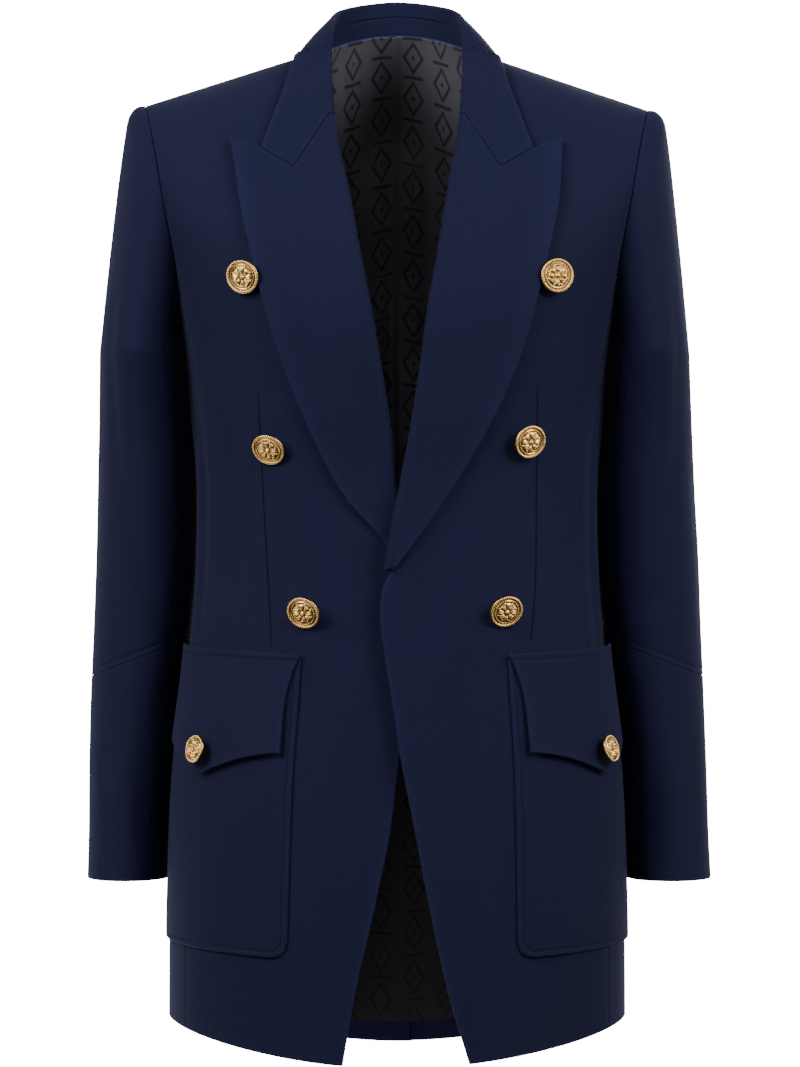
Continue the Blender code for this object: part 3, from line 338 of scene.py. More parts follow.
def wall_normal(x, height, face):
    """Outward direction of the front or back cloth."""
    across = on_wall(x + 0.5, height, face) - on_wall(x - 0.5, height, face)
    upward = on_wall(x, height, face) - on_wall(x, height - 1, face)
    away = -face * unit(np.cross(across, upward))
    on_ridge = 1 - ease(0, 3, ridge_height(x, face) - height)
    return unit(mix(away, point(0, 0, 1), on_ridge[..., None]))


def wall_drape(x, height, face):
    """Lift of the folds on the front or back cloth."""
    turn = turn_at(x, height) if face == FRONT else 180 - turn_at(x, height)
    depth = folds(BODY_FOLDS, np.sign(x) * turn, height, BODY_STEP)
    return depth * bpy.context.scene.blazer_cloth.fold_depth


def wall(x, height, face, lift=0.0):
    """Point of the front or back cloth with its folds, moved off its outer face by the lift."""
    away = np.asarray(lift, dtype=float) + wall_drape(x, height, face)
    return on_wall(x, height, face) + wall_normal(x, height, face) * away[..., None]


def on_ring(turn, height, side):
    """Point of the body cloth at a turn from the centre front, below the armholes."""
    angle = np.radians(turn)
    sine, cosine = np.sin(angle), np.cos(angle)
    half_width = through(SECTIONS, "half_width", height)
    front = through(SECTIONS, "front_depth", height)
    back = through(SECTIONS, "back_depth", height)
    power = through(SECTIONS, "squareness", height)
    reach = (np.abs(sine) ** power + np.abs(cosine) ** power) ** (-1 / power)
    depth = np.where(cosine > 0, front, back)
    return point(side * half_width * reach * sine, -depth * reach * cosine, height)


def ring_normal(turn, height, side):
    """Outward direction of the body cloth at a turn."""
    around = on_ring(turn + 0.25, height, side) - on_ring(turn - 0.25, height, side)
    upward = on_ring(turn, height, side) - on_ring(turn, height - 1, side)
    return side * unit(np.cross(around, upward))


def ring(turn, height, side, lift=0.0):
    """Point of the body cloth with its folds at a turn, moved off its outer face by the lift."""
    depth = folds(BODY_FOLDS, side * turn, height, BODY_STEP) * bpy.context.scene.blazer_cloth.fold_depth
    away = np.asarray(lift, dtype=float) + depth
    return on_ring(turn, height, side) + ring_normal(turn, height, side) * away[..., None]


def hem_height(turn):
    """The hem dips at the centre front and centre back."""
    cosine = np.cos(np.radians(turn))
    drop = np.where(cosine > 0, FRONT_HEM_DROP, BACK_HEM_DROP)
    return SIDE_HEM - drop * np.abs(cosine) ** HEM_POWER


def turn_at(x, height):
    """Degrees from the front or back centre of the ring's point at x."""
    power = through(SECTIONS, "squareness", height)
    across = np.clip(np.abs(x) / through(SECTIONS, "half_width", height), 0, 1)
    return np.degrees(np.arctan2(across, (1 - across ** power) ** (1 / power)))


def armhole_x(height, face):
    return through(ARMHOLE, "front" if face == FRONT else "back", height)


def seam_turn(height, face):
    """Degrees of the side panel's seam from the front or back centre."""
    low = FRONT_SEAM_TURN if face == FRONT else BACK_SEAM_TURN
    join = turn_at(armhole_x(ARMHOLE_JOIN_HEIGHT, face), ARMHOLE_JOIN_HEIGHT)
    return mix(low, join, ease(*SEAM_SPREAD, height))


def seam_gap():
    return math.degrees(HALF_SEAM / SECTIONS[-1].half_width)


def panel_side_x(height, face, side):
    """Outer edge of a front or back panel: side seam, then armhole."""
    turn = seam_turn(height, face) - seam_gap()
    on_seam = ring(turn if face == FRONT else 180 - turn, height, side)[..., 0]
    on_armhole = side * (armhole_x(height, face) - HALF_SEAM)
    return np.where(height < ARMHOLE_JOIN_HEIGHT, on_seam, on_armhole)


def front_lap(x, height, side):
    """Lift of the fronts where they pass each other: the right one out, the left one in."""
    return side * LAP * (1 - ease(*LAP_REACH, side * x)) * (1 - ease(*LAP_FADE, height))


def armhole(turn, side):
    """Point of the body's outer face at the armhole, a turn in degrees from the shoulder end."""
    turn = turn % 360
    tip = ridge_height(side * SHOULDER_HALF_WIDTH, FRONT)
    foot_cosine = math.cos(math.radians(FRONT_JOIN_TURN))
    share = (np.cos(np.radians(turn)) - foot_cosine) / (1 - foot_cosine)
    height = mix(ARMHOLE_JOIN_HEIGHT, tip, np.clip(share, 0, 1))
    front = wall(side * armhole_x(height, FRONT), height, FRONT)
    back = wall(side * armhole_x(height, BACK), height, BACK)
    along = np.clip((turn - FRONT_JOIN_TURN) / (BACK_JOIN_TURN - FRONT_JOIN_TURN), 0, 1)
    foot = side_top(along, side)
    in_front = (turn < FRONT_JOIN_TURN)[..., None]
    behind = (turn > BACK_JOIN_TURN)[..., None]
    return np.where(in_front, front, np.where(behind, back, foot))


def side_top(along, side):
    """The side panel's top edge under the arm, from the front join (0) to the back join (1)."""
    first = seam_turn(ARMHOLE_JOIN_HEIGHT, FRONT)
    last = 180 - seam_turn(ARMHOLE_JOIN_HEIGHT, BACK)
    height = ARMHOLE_JOIN_HEIGHT - ARMPIT_DROP * (1 - (2 * along - 1) ** 2)
    return ring(mix(first, last, along), height, side)


# Cloth shells. A grid has rows and columns of points with two more values, how far the outer face
# dips there and how near a worn edge it is, and then the shift of its inner face along the cloth.

def plain(points):
    return np.concatenate([points, np.zeros(points.shape[:-1] + (2,))], axis=-1)


def normals(grid):
    """Directions square to a grid, from the differences along its rows and columns."""
    return unit(np.cross(np.gradient(grid[..., :3], axis=1), np.gradient(grid[..., :3], axis=0)))


def outward(grid, facing):
    """The grid with its columns in the order that makes its normals point as facing does."""
    middle = normals(grid)[grid.shape[0] // 2, grid.shape[1] // 2]
    return grid if np.dot(middle, facing) > 0 else grid[:, ::-1]


def offset(points, distance, facing):
    """Points of a grid moved along its normals, towards the side that facing names."""
    away = normals(points)
    middle = away[points.shape[0] // 2, points.shape[1] // 2]
    return points + away * (distance if np.dot(middle, facing) > 0 else -distance)


def at_distances(grid, distances):
    """Values of a grid's columns of points at distances measured from their first row."""
    steps = np.linalg.norm(np.diff(grid[..., :3], axis=0), axis=-1)
    reach = np.concatenate([np.zeros((1, grid.shape[1])), np.cumsum(steps, axis=0)])
    rows = []
    for distance in distances:
        low = np.clip(np.sum(reach <= distance, axis=0) - 1, 0, len(grid) - 2)[None, :]
        start = np.take_along_axis(reach, low, 0)[0]
        share = (distance - start) / (np.take_along_axis(reach, low + 1, 0)[0] - start)
        first = np.take_along_axis(grid, low[..., None], 0)[0]
        second = np.take_along_axis(grid, low[..., None] + 1, 0)[0]
        rows.append(mix(first, second, share[:, None]))
    return np.stack(rows), reach


def rounded(grid, radius, wear=0.0, groove=None):
    """Round a grid's first row over as a quarter circle, with a stitched groove beside it if asked."""
    turned = np.radians((0, 25, 50, 72, 90))
    distances = list(radius * (1 - np.cos(turned)))
    dips = list(radius * (1 - np.sin(turned)))
    if groove:
        place, depth = groove
        distances += [place + step for step in (-1.3, -0.6, 0, 0.6, 1.3)]
        dips += [depth * share for share in (0, 0.6, 1, 0.6, 0)]
    rows, reach = at_distances(grid, distances)
    rows[..., 3] = np.maximum(rows[..., 3], np.array(dips)[:, None])
    kept = int(np.sum(reach.min(axis=1) <= distances[-1] + 0.4))
    joined = np.concatenate([rows, grid[kept:]])
    reach = np.concatenate([np.array(distances)[:, None] + 0 * reach[:1], reach[kept:]])
    joined[..., 4] = np.maximum(joined[..., 4], wear * np.exp(-(reach / 3.0) ** 2))
    return joined


EDGES = {"foot": (0, 1), "top": (0, -1), "first": (1, 1), "last": (1, -1)}
SLANT_REACH = 4.0
STITCH_SINK, SLEEVE_THINNER = 0.25, 0.3

# Radius and wear of edges, then the depths of slanted seams
LAPEL_EDGES = {"top": (0.7, 0.35), "last": (0.78, 0.7), "foot": (0.7, 0.3)}
COLLAR_EDGES = {"top": (0.7, 0.35), "foot": (0.7, 0.35), "last": (0.85, 0.7)}
POCKET_EDGES = {name: (0.9, 0.5) for name in ("foot", "first", "last", "top")}
FLAP_EDGE, FLAP_FOOT_EDGE = (0.9, 0.7), (0.6, 0.4)
FREE_WEAR, SEAM_WEAR = 0.7, 0.25
LAPEL_GRAIN = 11              # degrees from upright
SEAM_SLANT, SIDE_SLANT, ARMHOLE_SLANT, SLEEVE_HEAD_SLANT = 0.8, 1.8, 2.0, 2.8


def with_edges(grid, edges):
    """Round the named edges of a grid. Each edge has a radius, a wear and maybe a groove."""
    for name, shape in edges.items():
        axis, way = EDGES[name]
        turned = np.moveaxis(grid, axis, 0)[::way]
        grid = np.moveaxis(rounded(turned, *shape)[::way], 0, axis)
    return grid


def slanted(points, slants):
    """Shift of the inner face near slanted edges: beyond the edge, under its neighbour, or short of it.

    A seam that slants through the cloth can't be seen through.
    """
    shift = np.zeros_like(points)
    for name, amount in slants.items():
        axis, way = EDGES[name]
        reach = lengths(points, axis)
        if way < 0:
            reach = np.take(reach, [-1], axis=axis) - reach
        beyond = -way * unit(np.gradient(points, axis=axis))
        shift = shift + beyond * (amount * np.clip(1 - reach / SLANT_REACH, 0, 1))[..., None]
    return shift


def lengths(points, axis):
    steps = np.linalg.norm(np.diff(points, axis=axis), axis=-1)
    start = np.zeros_like(np.take(steps, [0], axis=axis))
    return np.concatenate([start, np.cumsum(steps, axis=axis)], axis=axis)


def lay_out(points, grain):
    """Flat place of each point: its distance along the grid's lines, turned by the grain's angle."""
    across = lengths(points, 1)
    across = across - across[:, [points.shape[1] // 2]]
    along = lengths(points, 0)[:, [points.shape[1] // 2]] + 0 * across
    cosine, sine = math.cos(grain), math.sin(grain)
    return np.stack([across * cosine - along * sine, across * sine + along * cosine], axis=-1)


def put_mesh(name, vertices, faces, finishes, face_finish=None, uv=None, marks=(), sharp=50):
    """Object of vertices in millimetres and faces as rows of indices of one length.

    Each mark is a named value of every vertex, which the finishes read.
    """
    mesh = bpy.data.meshes.new(name)
    mesh.vertices.add(len(vertices))
    mesh.vertices.foreach_set("co", (vertices * MM).astype(np.float32).ravel())
    corners = faces.shape[1]
    mesh.loops.add(faces.size)
    mesh.loops.foreach_set("vertex_index", faces.ravel().astype(np.int32))
    mesh.polygons.add(len(faces))
    mesh.polygons.foreach_set("loop_start", np.arange(0, faces.size, corners, dtype=np.int32))
    for material in finishes:
        mesh.materials.append(material)
    if face_finish is not None:
        mesh.polygons.foreach_set("material_index", face_finish.astype(np.int32))
    mesh.update(calc_edges=True)
    if uv is not None:
        layer = mesh.uv_layers.new(name="cut")
        layer.data.foreach_set("uv", (uv * MM)[faces.ravel()].astype(np.float32).ravel())
    for mark, values in dict(marks).items():
        layer = mesh.attributes.new(mark, "FLOAT", "POINT")
        layer.data.foreach_set("value", values.astype(np.float32))
    mesh.shade_smooth()
    mesh.set_sharp_from_angle(angle=math.radians(sharp))
    mesh.validate()
    piece = bpy.data.objects.new(name, mesh)
    bpy.context.scene.collection.objects.link(piece)
    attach(piece, "root")
    return piece


def grid_faces(rows, columns, start=0):
    index = np.arange(rows * columns).reshape(rows, columns) + start
    corners = (index[:-1, :-1], index[:-1, 1:], index[1:, 1:], index[1:, :-1])
    return np.stack(corners, axis=-1).reshape(-1, 4)


def edge_loop(rows, columns):
    """Indices once round a grid."""
    index = np.arange(rows * columns).reshape(rows, columns)
    return np.concatenate([index[0, :-1], index[:-1, -1], index[-1, :0:-1], index[:0:-1, 0]])


def cloth(name, grid, thickness, facing, edges, finishes, slants=(), grain=0.0):
    """Closed shell of a cut piece: the grid as outer face, a face inside it and the edge between.

    The first finish is the outside and its edges, the second the inner face.
    """
    if grid.shape[-1] == 3:
        grid = plain(grid)
    grid = with_edges(grid, edges)
    grid = outward(np.concatenate([grid, slanted(grid[..., :3], dict(slants))], axis=-1), facing)
    points, dip, wear = grid[..., :3], grid[..., 3:4], grid[..., 4]
    away = normals(points)
    outer, inner = points - away * dip, points - away * thickness + grid[..., 5:8]
    rows, columns = wear.shape
    count = rows * columns
    loop = edge_loop(rows, columns)
    follow = np.roll(loop, -1)
    outside = grid_faces(rows, columns)[:, ::-1]
    inside = grid_faces(rows, columns, count)
    edge = np.stack([loop, follow, follow + count, loop + count], axis=-1)
    faces = np.concatenate([outside, edge, inside])
    face_finish = np.repeat([0, 1], [len(outside) + len(edge), len(inside)])
    uv = lay_out(points, grain).reshape(-1, 2)
    vertices = np.concatenate([outer.reshape(-1, 3), inner.reshape(-1, 3)])
    # the sunk mark, the outer face's dip, sets the painted shade of the worsted finish
    piece = put_mesh(name + "_cloth", vertices, faces, finishes, face_finish, np.concatenate([uv, uv]),
                     {"wear": np.tile(wear.ravel(), 2), "sunk": np.tile(dip.ravel(), 2)})
    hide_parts(name)
    return piece, grid


def declare(grid, thickness, stitches=()):
    """Work out the area of the cloth's middle, which is not kept."""
    middle = grid[..., :3] - normals(grid) * thickness / 2
    first, second = middle[1:, 1:] - middle[:-1, :-1], middle[1:, :-1] - middle[:-1, 1:]
    area = np.linalg.norm(np.cross(first, second), axis=-1).sum() / 2 * MM * MM


def cut_piece(name, grid, thickness, facing, edges, inner="navy_worsted", slants=(), grain=0.0,
              outer="navy_worsted", sew=None):
    """A cut piece. sew makes the stitching from the finished grid."""
    piece, grid = cloth(name, grid, thickness, facing, edges, [finish(outer), finish(inner)], slants, grain)
    declare(grid, thickness, [sew(grid)] if sew else ())


# Stitching

def read_line(at, reach, values):
    """Three values at the given lengths along a line."""
    return np.stack([np.interp(at, reach, values[:, i]) for i in range(3)], axis=-1)


def stitch_line(name, places, away, length=2.2, gap=0.8, breadth=0.34):
    """Small capsules end to end along a line of places, half sunk, with their backs along away."""
    reach = lengths(places[:, None], 0)[:, 0]
    starts = np.arange(gap, reach[-1] - length, length + gap)
    centre = read_line(starts + length / 2, reach, places)
    along = unit(read_line(starts + length, reach, places) - read_line(starts, reach, places))
    up = unit(read_line(starts, reach, away))
    beside = np.cross(along, up)
    shares, sizes = np.array([-1, -0.8, -0.3, 0.3, 0.8, 1]), np.array([0, 0.75, 1, 1, 0.75, 0])
    around = np.arange(5) * 2 * math.pi / 5
    template = np.stack([np.repeat(shares * length / 2, 5), np.outer(sizes, np.cos(around)).ravel() * breadth,
                         np.outer(sizes, np.sin(around)).ravel() * breadth], axis=-1)
    frame_axes = np.stack([along, beside, up], axis=1)
    vertices = (centre[:, None] + template @ frame_axes).reshape(-1, 3)
    ring_index = np.arange(5)
    faces = []
    for row in range(len(shares) - 1):
        low, high = row * 5 + ring_index, row * 5 + (ring_index + 1) % 5
        faces.append(np.stack([low, low + 5, high + 5, high], axis=-1))
    faces = np.concatenate(faces)
    faces = (faces[None] + np.arange(len(centre))[:, None, None] * len(template)).reshape(-1, 4)
    piece = put_mesh(name, vertices, faces, [finish("navy_thread")], sharp=80)
    return piece


def seam_stitches(name, grid, way=1, trim=0):
    """Stitching at the stitch inset from a grid's first row, or from its last one if way is -1."""
    turned = np.concatenate([grid, normals(grid)], axis=-1)[::way]
    line = at_distances(turned, [bpy.context.scene.blazer_cloth.stitch_inset])[0][0]
    line = line[trim:len(line) - trim]
    return stitch_line(name + "_stitches", line[:, :3] - line[:, -3:] * STITCH_SINK, line[:, -3:])


# Cut pieces of the body

def spaced(start, end, step):
    return np.linspace(start, end, max(2, int(round(abs(end - start) / step)) + 1))


def outer_rows(turn, side):
    """Heights of rows up the side seam and the armhole, closer together at the shoulder."""
    step = bpy.context.scene.blazer_cloth.cell
    tip = ridge_height(side * SHOULDER_HALF_WIDTH, FRONT)
    upper = spaced(0, 1, step / 1.3 / abs(tip - ARMHOLE_JOIN_HEIGHT))[1:]
    heights = np.concatenate([spaced(hem_height(turn), ARMHOLE_JOIN_HEIGHT, step),
                              mix(tip, ARMHOLE_JOIN_HEIGHT, (1 - upper) ** 1.5)])[:, None]
    return heights, (heights - heights[0]) / (heights[-1] - heights[0])


def front_edge_x(height, side):
    """Inner edge of a front panel: front edge, roll line, then up under the collar to the neck."""
    line = through(FRONT_LINE, side_name(side), height)
    pulled = line + side * ROLL_PULL * ease(*PULL_HEIGHTS[side], height)
    pulled = pulled + side * STAND_PULL * ease(*STAND_PULL_HEIGHTS, height)
    gorge = side * (FRONT_LINE[-1].right + ROLL_PULL + STAND_PULL)
    climb = np.clip((height - GORGE_HEIGHT) / (NECK_POINT_HEIGHT - GORGE_HEIGHT), 0, 1)
    return np.where(height < GORGE_HEIGHT, pulled, mix(gorge, side * NECK_HALF_WIDTH, climb ** NECK_CLIMB))


def front_panel(side):
    """Front from its edge to the side seam and armhole, with columns crowded along its dart."""
    step = bpy.context.scene.blazer_cloth.cell
    outer_height, up = outer_rows(FRONT_SEAM_TURN, side)
    inner_height = mix(FRONT_LINE[0].height + FRONT_HEM_LIFT, ridge_height(side * NECK_HALF_WIDTH, FRONT), up)
    inner_x = front_edge_x(inner_height, side)
    outer_x = panel_side_x(outer_height, FRONT, side)
    dart_x = through(DART, side_name(side), mix(inner_height, outer_height, 0.5))
    beside = side * np.array(DART_COLUMNS)[None, :]
    near = spaced(0, 1, step / SPAN_BEFORE_DART)[:-1][None, :]
    far = spaced(0, 1, step / SPAN_BEHIND_DART)[1:][None, :]
    x = np.concatenate([mix(inner_x, dart_x + beside[:, :1], near), dart_x + beside,
                        mix(dart_x + beside[:, -1:], outer_x, far)], axis=1)
    across = (x - inner_x) / (outer_x - inner_x)
    straight = mix(inner_height, outer_height, across)
    hem = hem_height(turn_at(x, straight))
    height = straight + (hem - straight[:1]) * (1 - up) ** EDGE_FADE
    low, high = DART_ENDS[side]
    sewn = ease(low, low + DART_FADE, height) * (1 - ease(high - DART_FADE, high, height))
    groove = sum(np.exp(-((x - dart_x) / width) ** 2) * depth for depth, width in (DART_SEAM, DART_HOLLOW))
    grid = plain(wall(x, height, FRONT, front_lap(x, height, side)))
    grid[..., 3] = groove * sewn
    return grid


def side_panel(side):
    """Side piece under the arm, between the front and back seams."""
    step = bpy.context.scene.blazer_cloth.cell
    up = spaced(0, 1, step / SIDE_RISE)[:, None]
    across = spaced(0, 1, step / SIDE_SPAN)[None, :]
    first_height = mix(hem_height(FRONT_SEAM_TURN), ARMHOLE_JOIN_HEIGHT, up)
    last_height = mix(hem_height(180 - BACK_SEAM_TURN), ARMHOLE_JOIN_HEIGHT, up)
    first = seam_turn(first_height, FRONT) + seam_gap()
    last = 180 - seam_turn(last_height, BACK) - seam_gap()
    turn = mix(first, last, across)
    height = mix(hem_height(turn), side_top(across, side)[..., 2] - HALF_SEAM, up)
    return ring(turn, height, side)


def back_lines(side):
    """Columns of x and height over half the back, from the centre seam to the side seam."""
    step = bpy.context.scene.blazer_cloth.cell
    outer_height, up = outer_rows(180 - BACK_SEAM_TURN, side)
    across = spaced(0, 1, step / BACK_SPAN)[None, :]
    inner_height = mix(SIDE_HEM - BACK_HEM_DROP, BACK_NECK_HEIGHT, up)
    inner_x = side * HALF_SEAM + 0 * inner_height
    if side == LEFT:
        lap = mix(VENT_LAP, VENT_LAP / 2, ease(VENT_TOP, SIDE_HEM, inner_height))
        inner_x = np.where(inner_height < VENT_TOP, lap, inner_x)
    x = mix(inner_x, panel_side_x(outer_height, BACK, side), across)
    straight = mix(inner_height, outer_height, across)
    hem = hem_height(180 - turn_at(x, straight))
    height = straight + (hem - straight[:1]) * (1 - up) ** EDGE_FADE
    neck = BACK_NECK_HEIGHT - (BACK_NECK_HEIGHT - NECK_POINT_HEIGHT) * (x / NECK_HALF_WIDTH) ** 2
    top = np.where(np.abs(x) < NECK_HALF_WIDTH, neck, ridge_height(x, FRONT))
    return x, height + (top - straight[-1:]) * up ** EDGE_FADE


def back_panel(side):
    """Half the back. The left half has the vent's underlap, inside the right half."""
    x, height = back_lines(side)
    lift = 0.0
    if side == LEFT:
        beside_vent = 1 - ease(*VENT_TUCK, -x)
        lift = -(BODY_CLOTH + 2 * SEAM) * beside_vent * (1 - ease(*VENT_FADE, height - VENT_TOP))
    return wall(x, height, BACK, lift)


def back_lining():
    """Lining inside the back with a pleat at its centre, hanging free towards the hem."""
    x, height = back_lines(RIGHT)
    x, height = x[:, :-1], height[:, :-1]
    rise = LINING_HEM_RISE * (1 - ease(0, LINING_HEM_FADE, height - height[:1]))
    x = np.concatenate([-x[:, :0:-1], 0 * x[:, :1], x[:, 1:]], axis=1)
    height = np.concatenate([(height + rise)[:, :0:-1], height + rise], axis=1)
    free = LINING_HANG * (1 - ease(*HANG_FADE, height - VENT_TOP))
    pleat = PLEAT_DEPTH * ease(-PLEAT_WIDTH, 0, x) * (x < 0) * ease(*PLEAT_HEIGHTS, height)
    ripple = folds(LINING_FOLDS, x, height, 1.0)
    return wall(x, height, BACK, -(BODY_CLOTH + SEAM + free) - pleat - ripple)


# Lapels and collar

def leaf_stops(side):
    """Shares of the lapel's width at the roll line, the gorge's foot, the collar and the peak."""
    gorge, peak = (getattr(row, side_name(side)) for row in (FRONT_LINE[-1], LAPEL_EDGE[-1]))
    return [0.0] + [(side * notch_x - gorge) / (peak - gorge) for notch_x, _ in NOTCH] + [1.0]


def leaf_shares(side):
    stops = leaf_stops(side)
    spans = zip(stops, stops[1:], LEAF_CELLS)
    return np.concatenate([np.linspace(a, b, n, endpoint=False) for a, b, n in spans] + [[1.0]])


def bends():
    """Angles over the fold, from its leg to its leaf, whose own first row closes it."""
    return np.radians(np.linspace(-90, 90, BEND_CELLS, endpoint=False))


def lapel(side, rows=120):
    """Facing turned back at the roll line: a short inner leg, a round fold, then the lapel.

    Each row runs square to the roll line. Its lift goes round a half circle and falls to the leaf's.
    """
    up = np.linspace(0, 1, rows)[:, None]
    fold_height = mix(LAPEL_FOOT[side], GORGE_HEIGHT, up)
    fold_x = through(FRONT_LINE, side_name(side), fold_height)
    edge_height = mix(LAPEL_FOOT[side] + LEAF_RISE, LAPEL_EDGE[-1].height, up)
    edge_x = through(LAPEL_EDGE, side_name(side), edge_height)
    width = np.hypot(edge_x - fold_x, edge_height - fold_height)
    peak_x, gorge_x = edge_x[-1, 0], fold_x[-1, 0]
    stops = leaf_stops(side)
    leaf = leaf_shares(side)[None, :]
    straight_x = mix(gorge_x, peak_x, leaf)
    straight_height = mix(GORGE_HEIGHT, edge_height[-1, 0], leaf)
    corner_x = [gorge_x] + [side * notch_x for notch_x, _ in NOTCH] + [peak_x]
    corner_height = [GORGE_HEIGHT] + [notch_height for _, notch_height in NOTCH] + [edge_height[-1, 0]]
    near_gorge = np.clip((up - 1 + NOTCH_FADE) / NOTCH_FADE, 0, 1) ** NOTCH_POWER
    shift_x = (np.interp(leaf, stops, corner_x) - straight_x) * near_gorge
    shift_height = (np.interp(leaf, stops, corner_height) - straight_height) * near_gorge

    inner_face = -BODY_CLOTH - LEG_CLEARANCE
    peak = PEAK_LIFT * leaf ** 2 * np.clip(width / PEAK_WIDTH, 0, 1)
    leaf_face = LEAF_LIFT + FOLD_FULLNESS * np.exp(-FOLD_FADE * leaf) + peak
    fold_centre = FOLD_RADIUS + LAPEL_CLOTH
    leg = np.linspace(1, 0, LEG_CELLS, endpoint=False)[None, :]
    bend = bends()[None, :]
    reach = np.concatenate([fold_centre + LEG_REACH * leg + 0 * up,
                            fold_centre - FOLD_RADIUS * np.cos(bend) + 0 * up,
                            mix(fold_centre, width, leaf)], axis=1)
    over_fold = inner_face + FOLD_RADIUS * (1 + np.sin(bend))
    face = np.concatenate([inner_face + 0 * leg + 0 * up, over_fold + 0 * up, leaf_face + 0 * up], axis=1)
    still = np.zeros((rows, LEG_CELLS + BEND_CELLS))
    x = fold_x + (edge_x - fold_x) / width * reach + np.concatenate([still, shift_x], axis=1)
    height = fold_height + (edge_height - fold_height) / width * reach
    height = height + np.concatenate([still, shift_height], axis=1) - GORGE_GAP * near_gorge
    return wall(x, height, FRONT, front_lap(x, height, side) + face)


def collar_lines(stations):
    """Roll, neck seam and outer edge of the collar at the given stations, as three point rows."""
    signed = [(row, 1) for row in COLLAR] + [(row, -1) for row in COLLAR[-2::-1]]
    place = [row.station if mirror == 1 else 2 * COLLAR_END - row.station for row, mirror in signed]
    rolls, seams, edges = [], [], []
    for row, mirror in signed:
        rolls.append((mirror * row.roll_x, row.roll_y, row.roll_z))
        seams.append(on_wall(mirror * row.seam_x, row.seam_z, row.face) + (0, 0, 3 * SEAM))
        edges.append(wall(mirror * row.edge_x, row.edge_z, row.face, FALL_LIFT))
    Place = namedtuple("Place", "station x y z")
    lines = []
    for points in (rolls, seams, edges):
        rows = [Place(at, *xyz) for at, xyz in zip(place, points)]
        lines.append(point(*(through(rows, axis, stations, "station") for axis in "xyz")))
    return lines


def keep_clear(points, lift):
    """Push points that dip under the body's cloth out to the given lift."""
    for face in (FRONT, BACK):
        x, y, z = np.moveaxis(points, -1, 0)
        normal = wall_normal(x, np.minimum(z, ridge_height(x, face)), face)
        height = np.sum((points - on_wall(x, z, face)) * normal, axis=-1)
        inside = (z < ridge_height(x, face)) & (y * face > 0) & (height < lift)
        points = points + np.where(inside, lift - height, 0)[..., None] * normal
    return points


def collar_frame(stations):
    """Seam and edge lines with the fold's centre, upward and outward direction."""
    roll, seam, edge = collar_lines(stations)
    to_seam, to_edge = unit(seam - roll), unit(edge - roll)
    upward = -unit(to_seam + to_edge)
    away = unit((to_edge - to_seam) - upward * np.sum((to_edge - to_seam) * upward, -1, keepdims=True))
    centre = roll - upward * (COLLAR_CLOTH + COLLAR_FOLD_RADIUS)
    return seam, edge, centre, upward, away


def upper_collar():
    """Collar from the stand's seam up over the roll and down to its outer edge.

    At its front ends it takes up the lapels' own top rows, just above the gorge seam.
    """
    stations = np.linspace(0, 2 * COLLAR_END, COLLAR_ROWS)
    seam, edge, centre, upward, away = collar_frame(stations)
    inside = centre - away * COLLAR_FOLD_RADIUS
    foot = mix(seam, inside, STAND_SHARE) + unit(inside - seam) * STAND_GAP
    rows = [mix(foot, inside, share) for share in np.linspace(0, 1, 2 * LEG_CELLS, endpoint=False)]
    for bend in bends():
        rows.append(centre + COLLAR_FOLD_RADIUS * (upward * math.cos(bend) + away * math.sin(bend)))
    start = centre + COLLAR_FOLD_RADIUS * away
    from_end = np.minimum(stations, 2 * COLLAR_END - stations)
    near_gorge = (np.clip(1 - from_end / END_REACH, 0, 1) ** END_POWER)[:, None]
    count = sum(LEAF_CELLS[:2])
    shares = leaf_shares(RIGHT)
    for share in shares[:count + 1] / shares[count]:
        crown = 4 * COLLAR_CROWN * share * (1 - share)
        row = mix(start, edge, share) + (away + CROWN_RISE * upward) * crown * (1 - near_gorge)
        rows.append(keep_clear(row, FALL_LIFT))
    grid = np.stack(rows, axis=1)
    for side, end, reach in ((RIGHT, 0, stations), (LEFT, -1, 2 * COLLAR_END - stations)):
        top = lapel(side)[-1, :LEG_CELLS + BEND_CELLS + count + 1] + point(0, 0, 2 * GORGE_GAP)
        steps = np.linspace(0, LEG_CELLS, 2 * LEG_CELLS, endpoint=False)
        index = np.arange(len(top))
        top = np.concatenate([read_line(steps, index, top), top[LEG_CELLS:]])
        place = np.interp(np.arange(len(top)), (0, 2 * LEG_CELLS, 2 * LEG_CELLS + BEND_CELLS, len(top) - 1),
                          (0, 2, 6, 12))
        fade = np.interp(place, (0, 5, 9), END_FADES)[None, :]
        share = np.clip(1 - reach[:, None] / fade, 0, 1) ** 1.5
        grid = grid + share[:, :, None] * (top - grid[end])[None, :, :]
    return grid


def collar_stand():
    """Band inside the neck between the neck seam and the upper collar."""
    stations = np.linspace(STAND_ENDS, 2 * COLLAR_END - STAND_ENDS, STAND_ROWS)
    seam, _, centre, _, away = collar_frame(stations)
    inside = centre - away * COLLAR_FOLD_RADIUS
    top = mix(seam, inside, STAND_SHARE) - unit(inside - seam) * STAND_GAP
    return np.stack([mix(seam, top, share) for share in np.linspace(-0.1, 1, 9)], axis=1)


# Sleeves

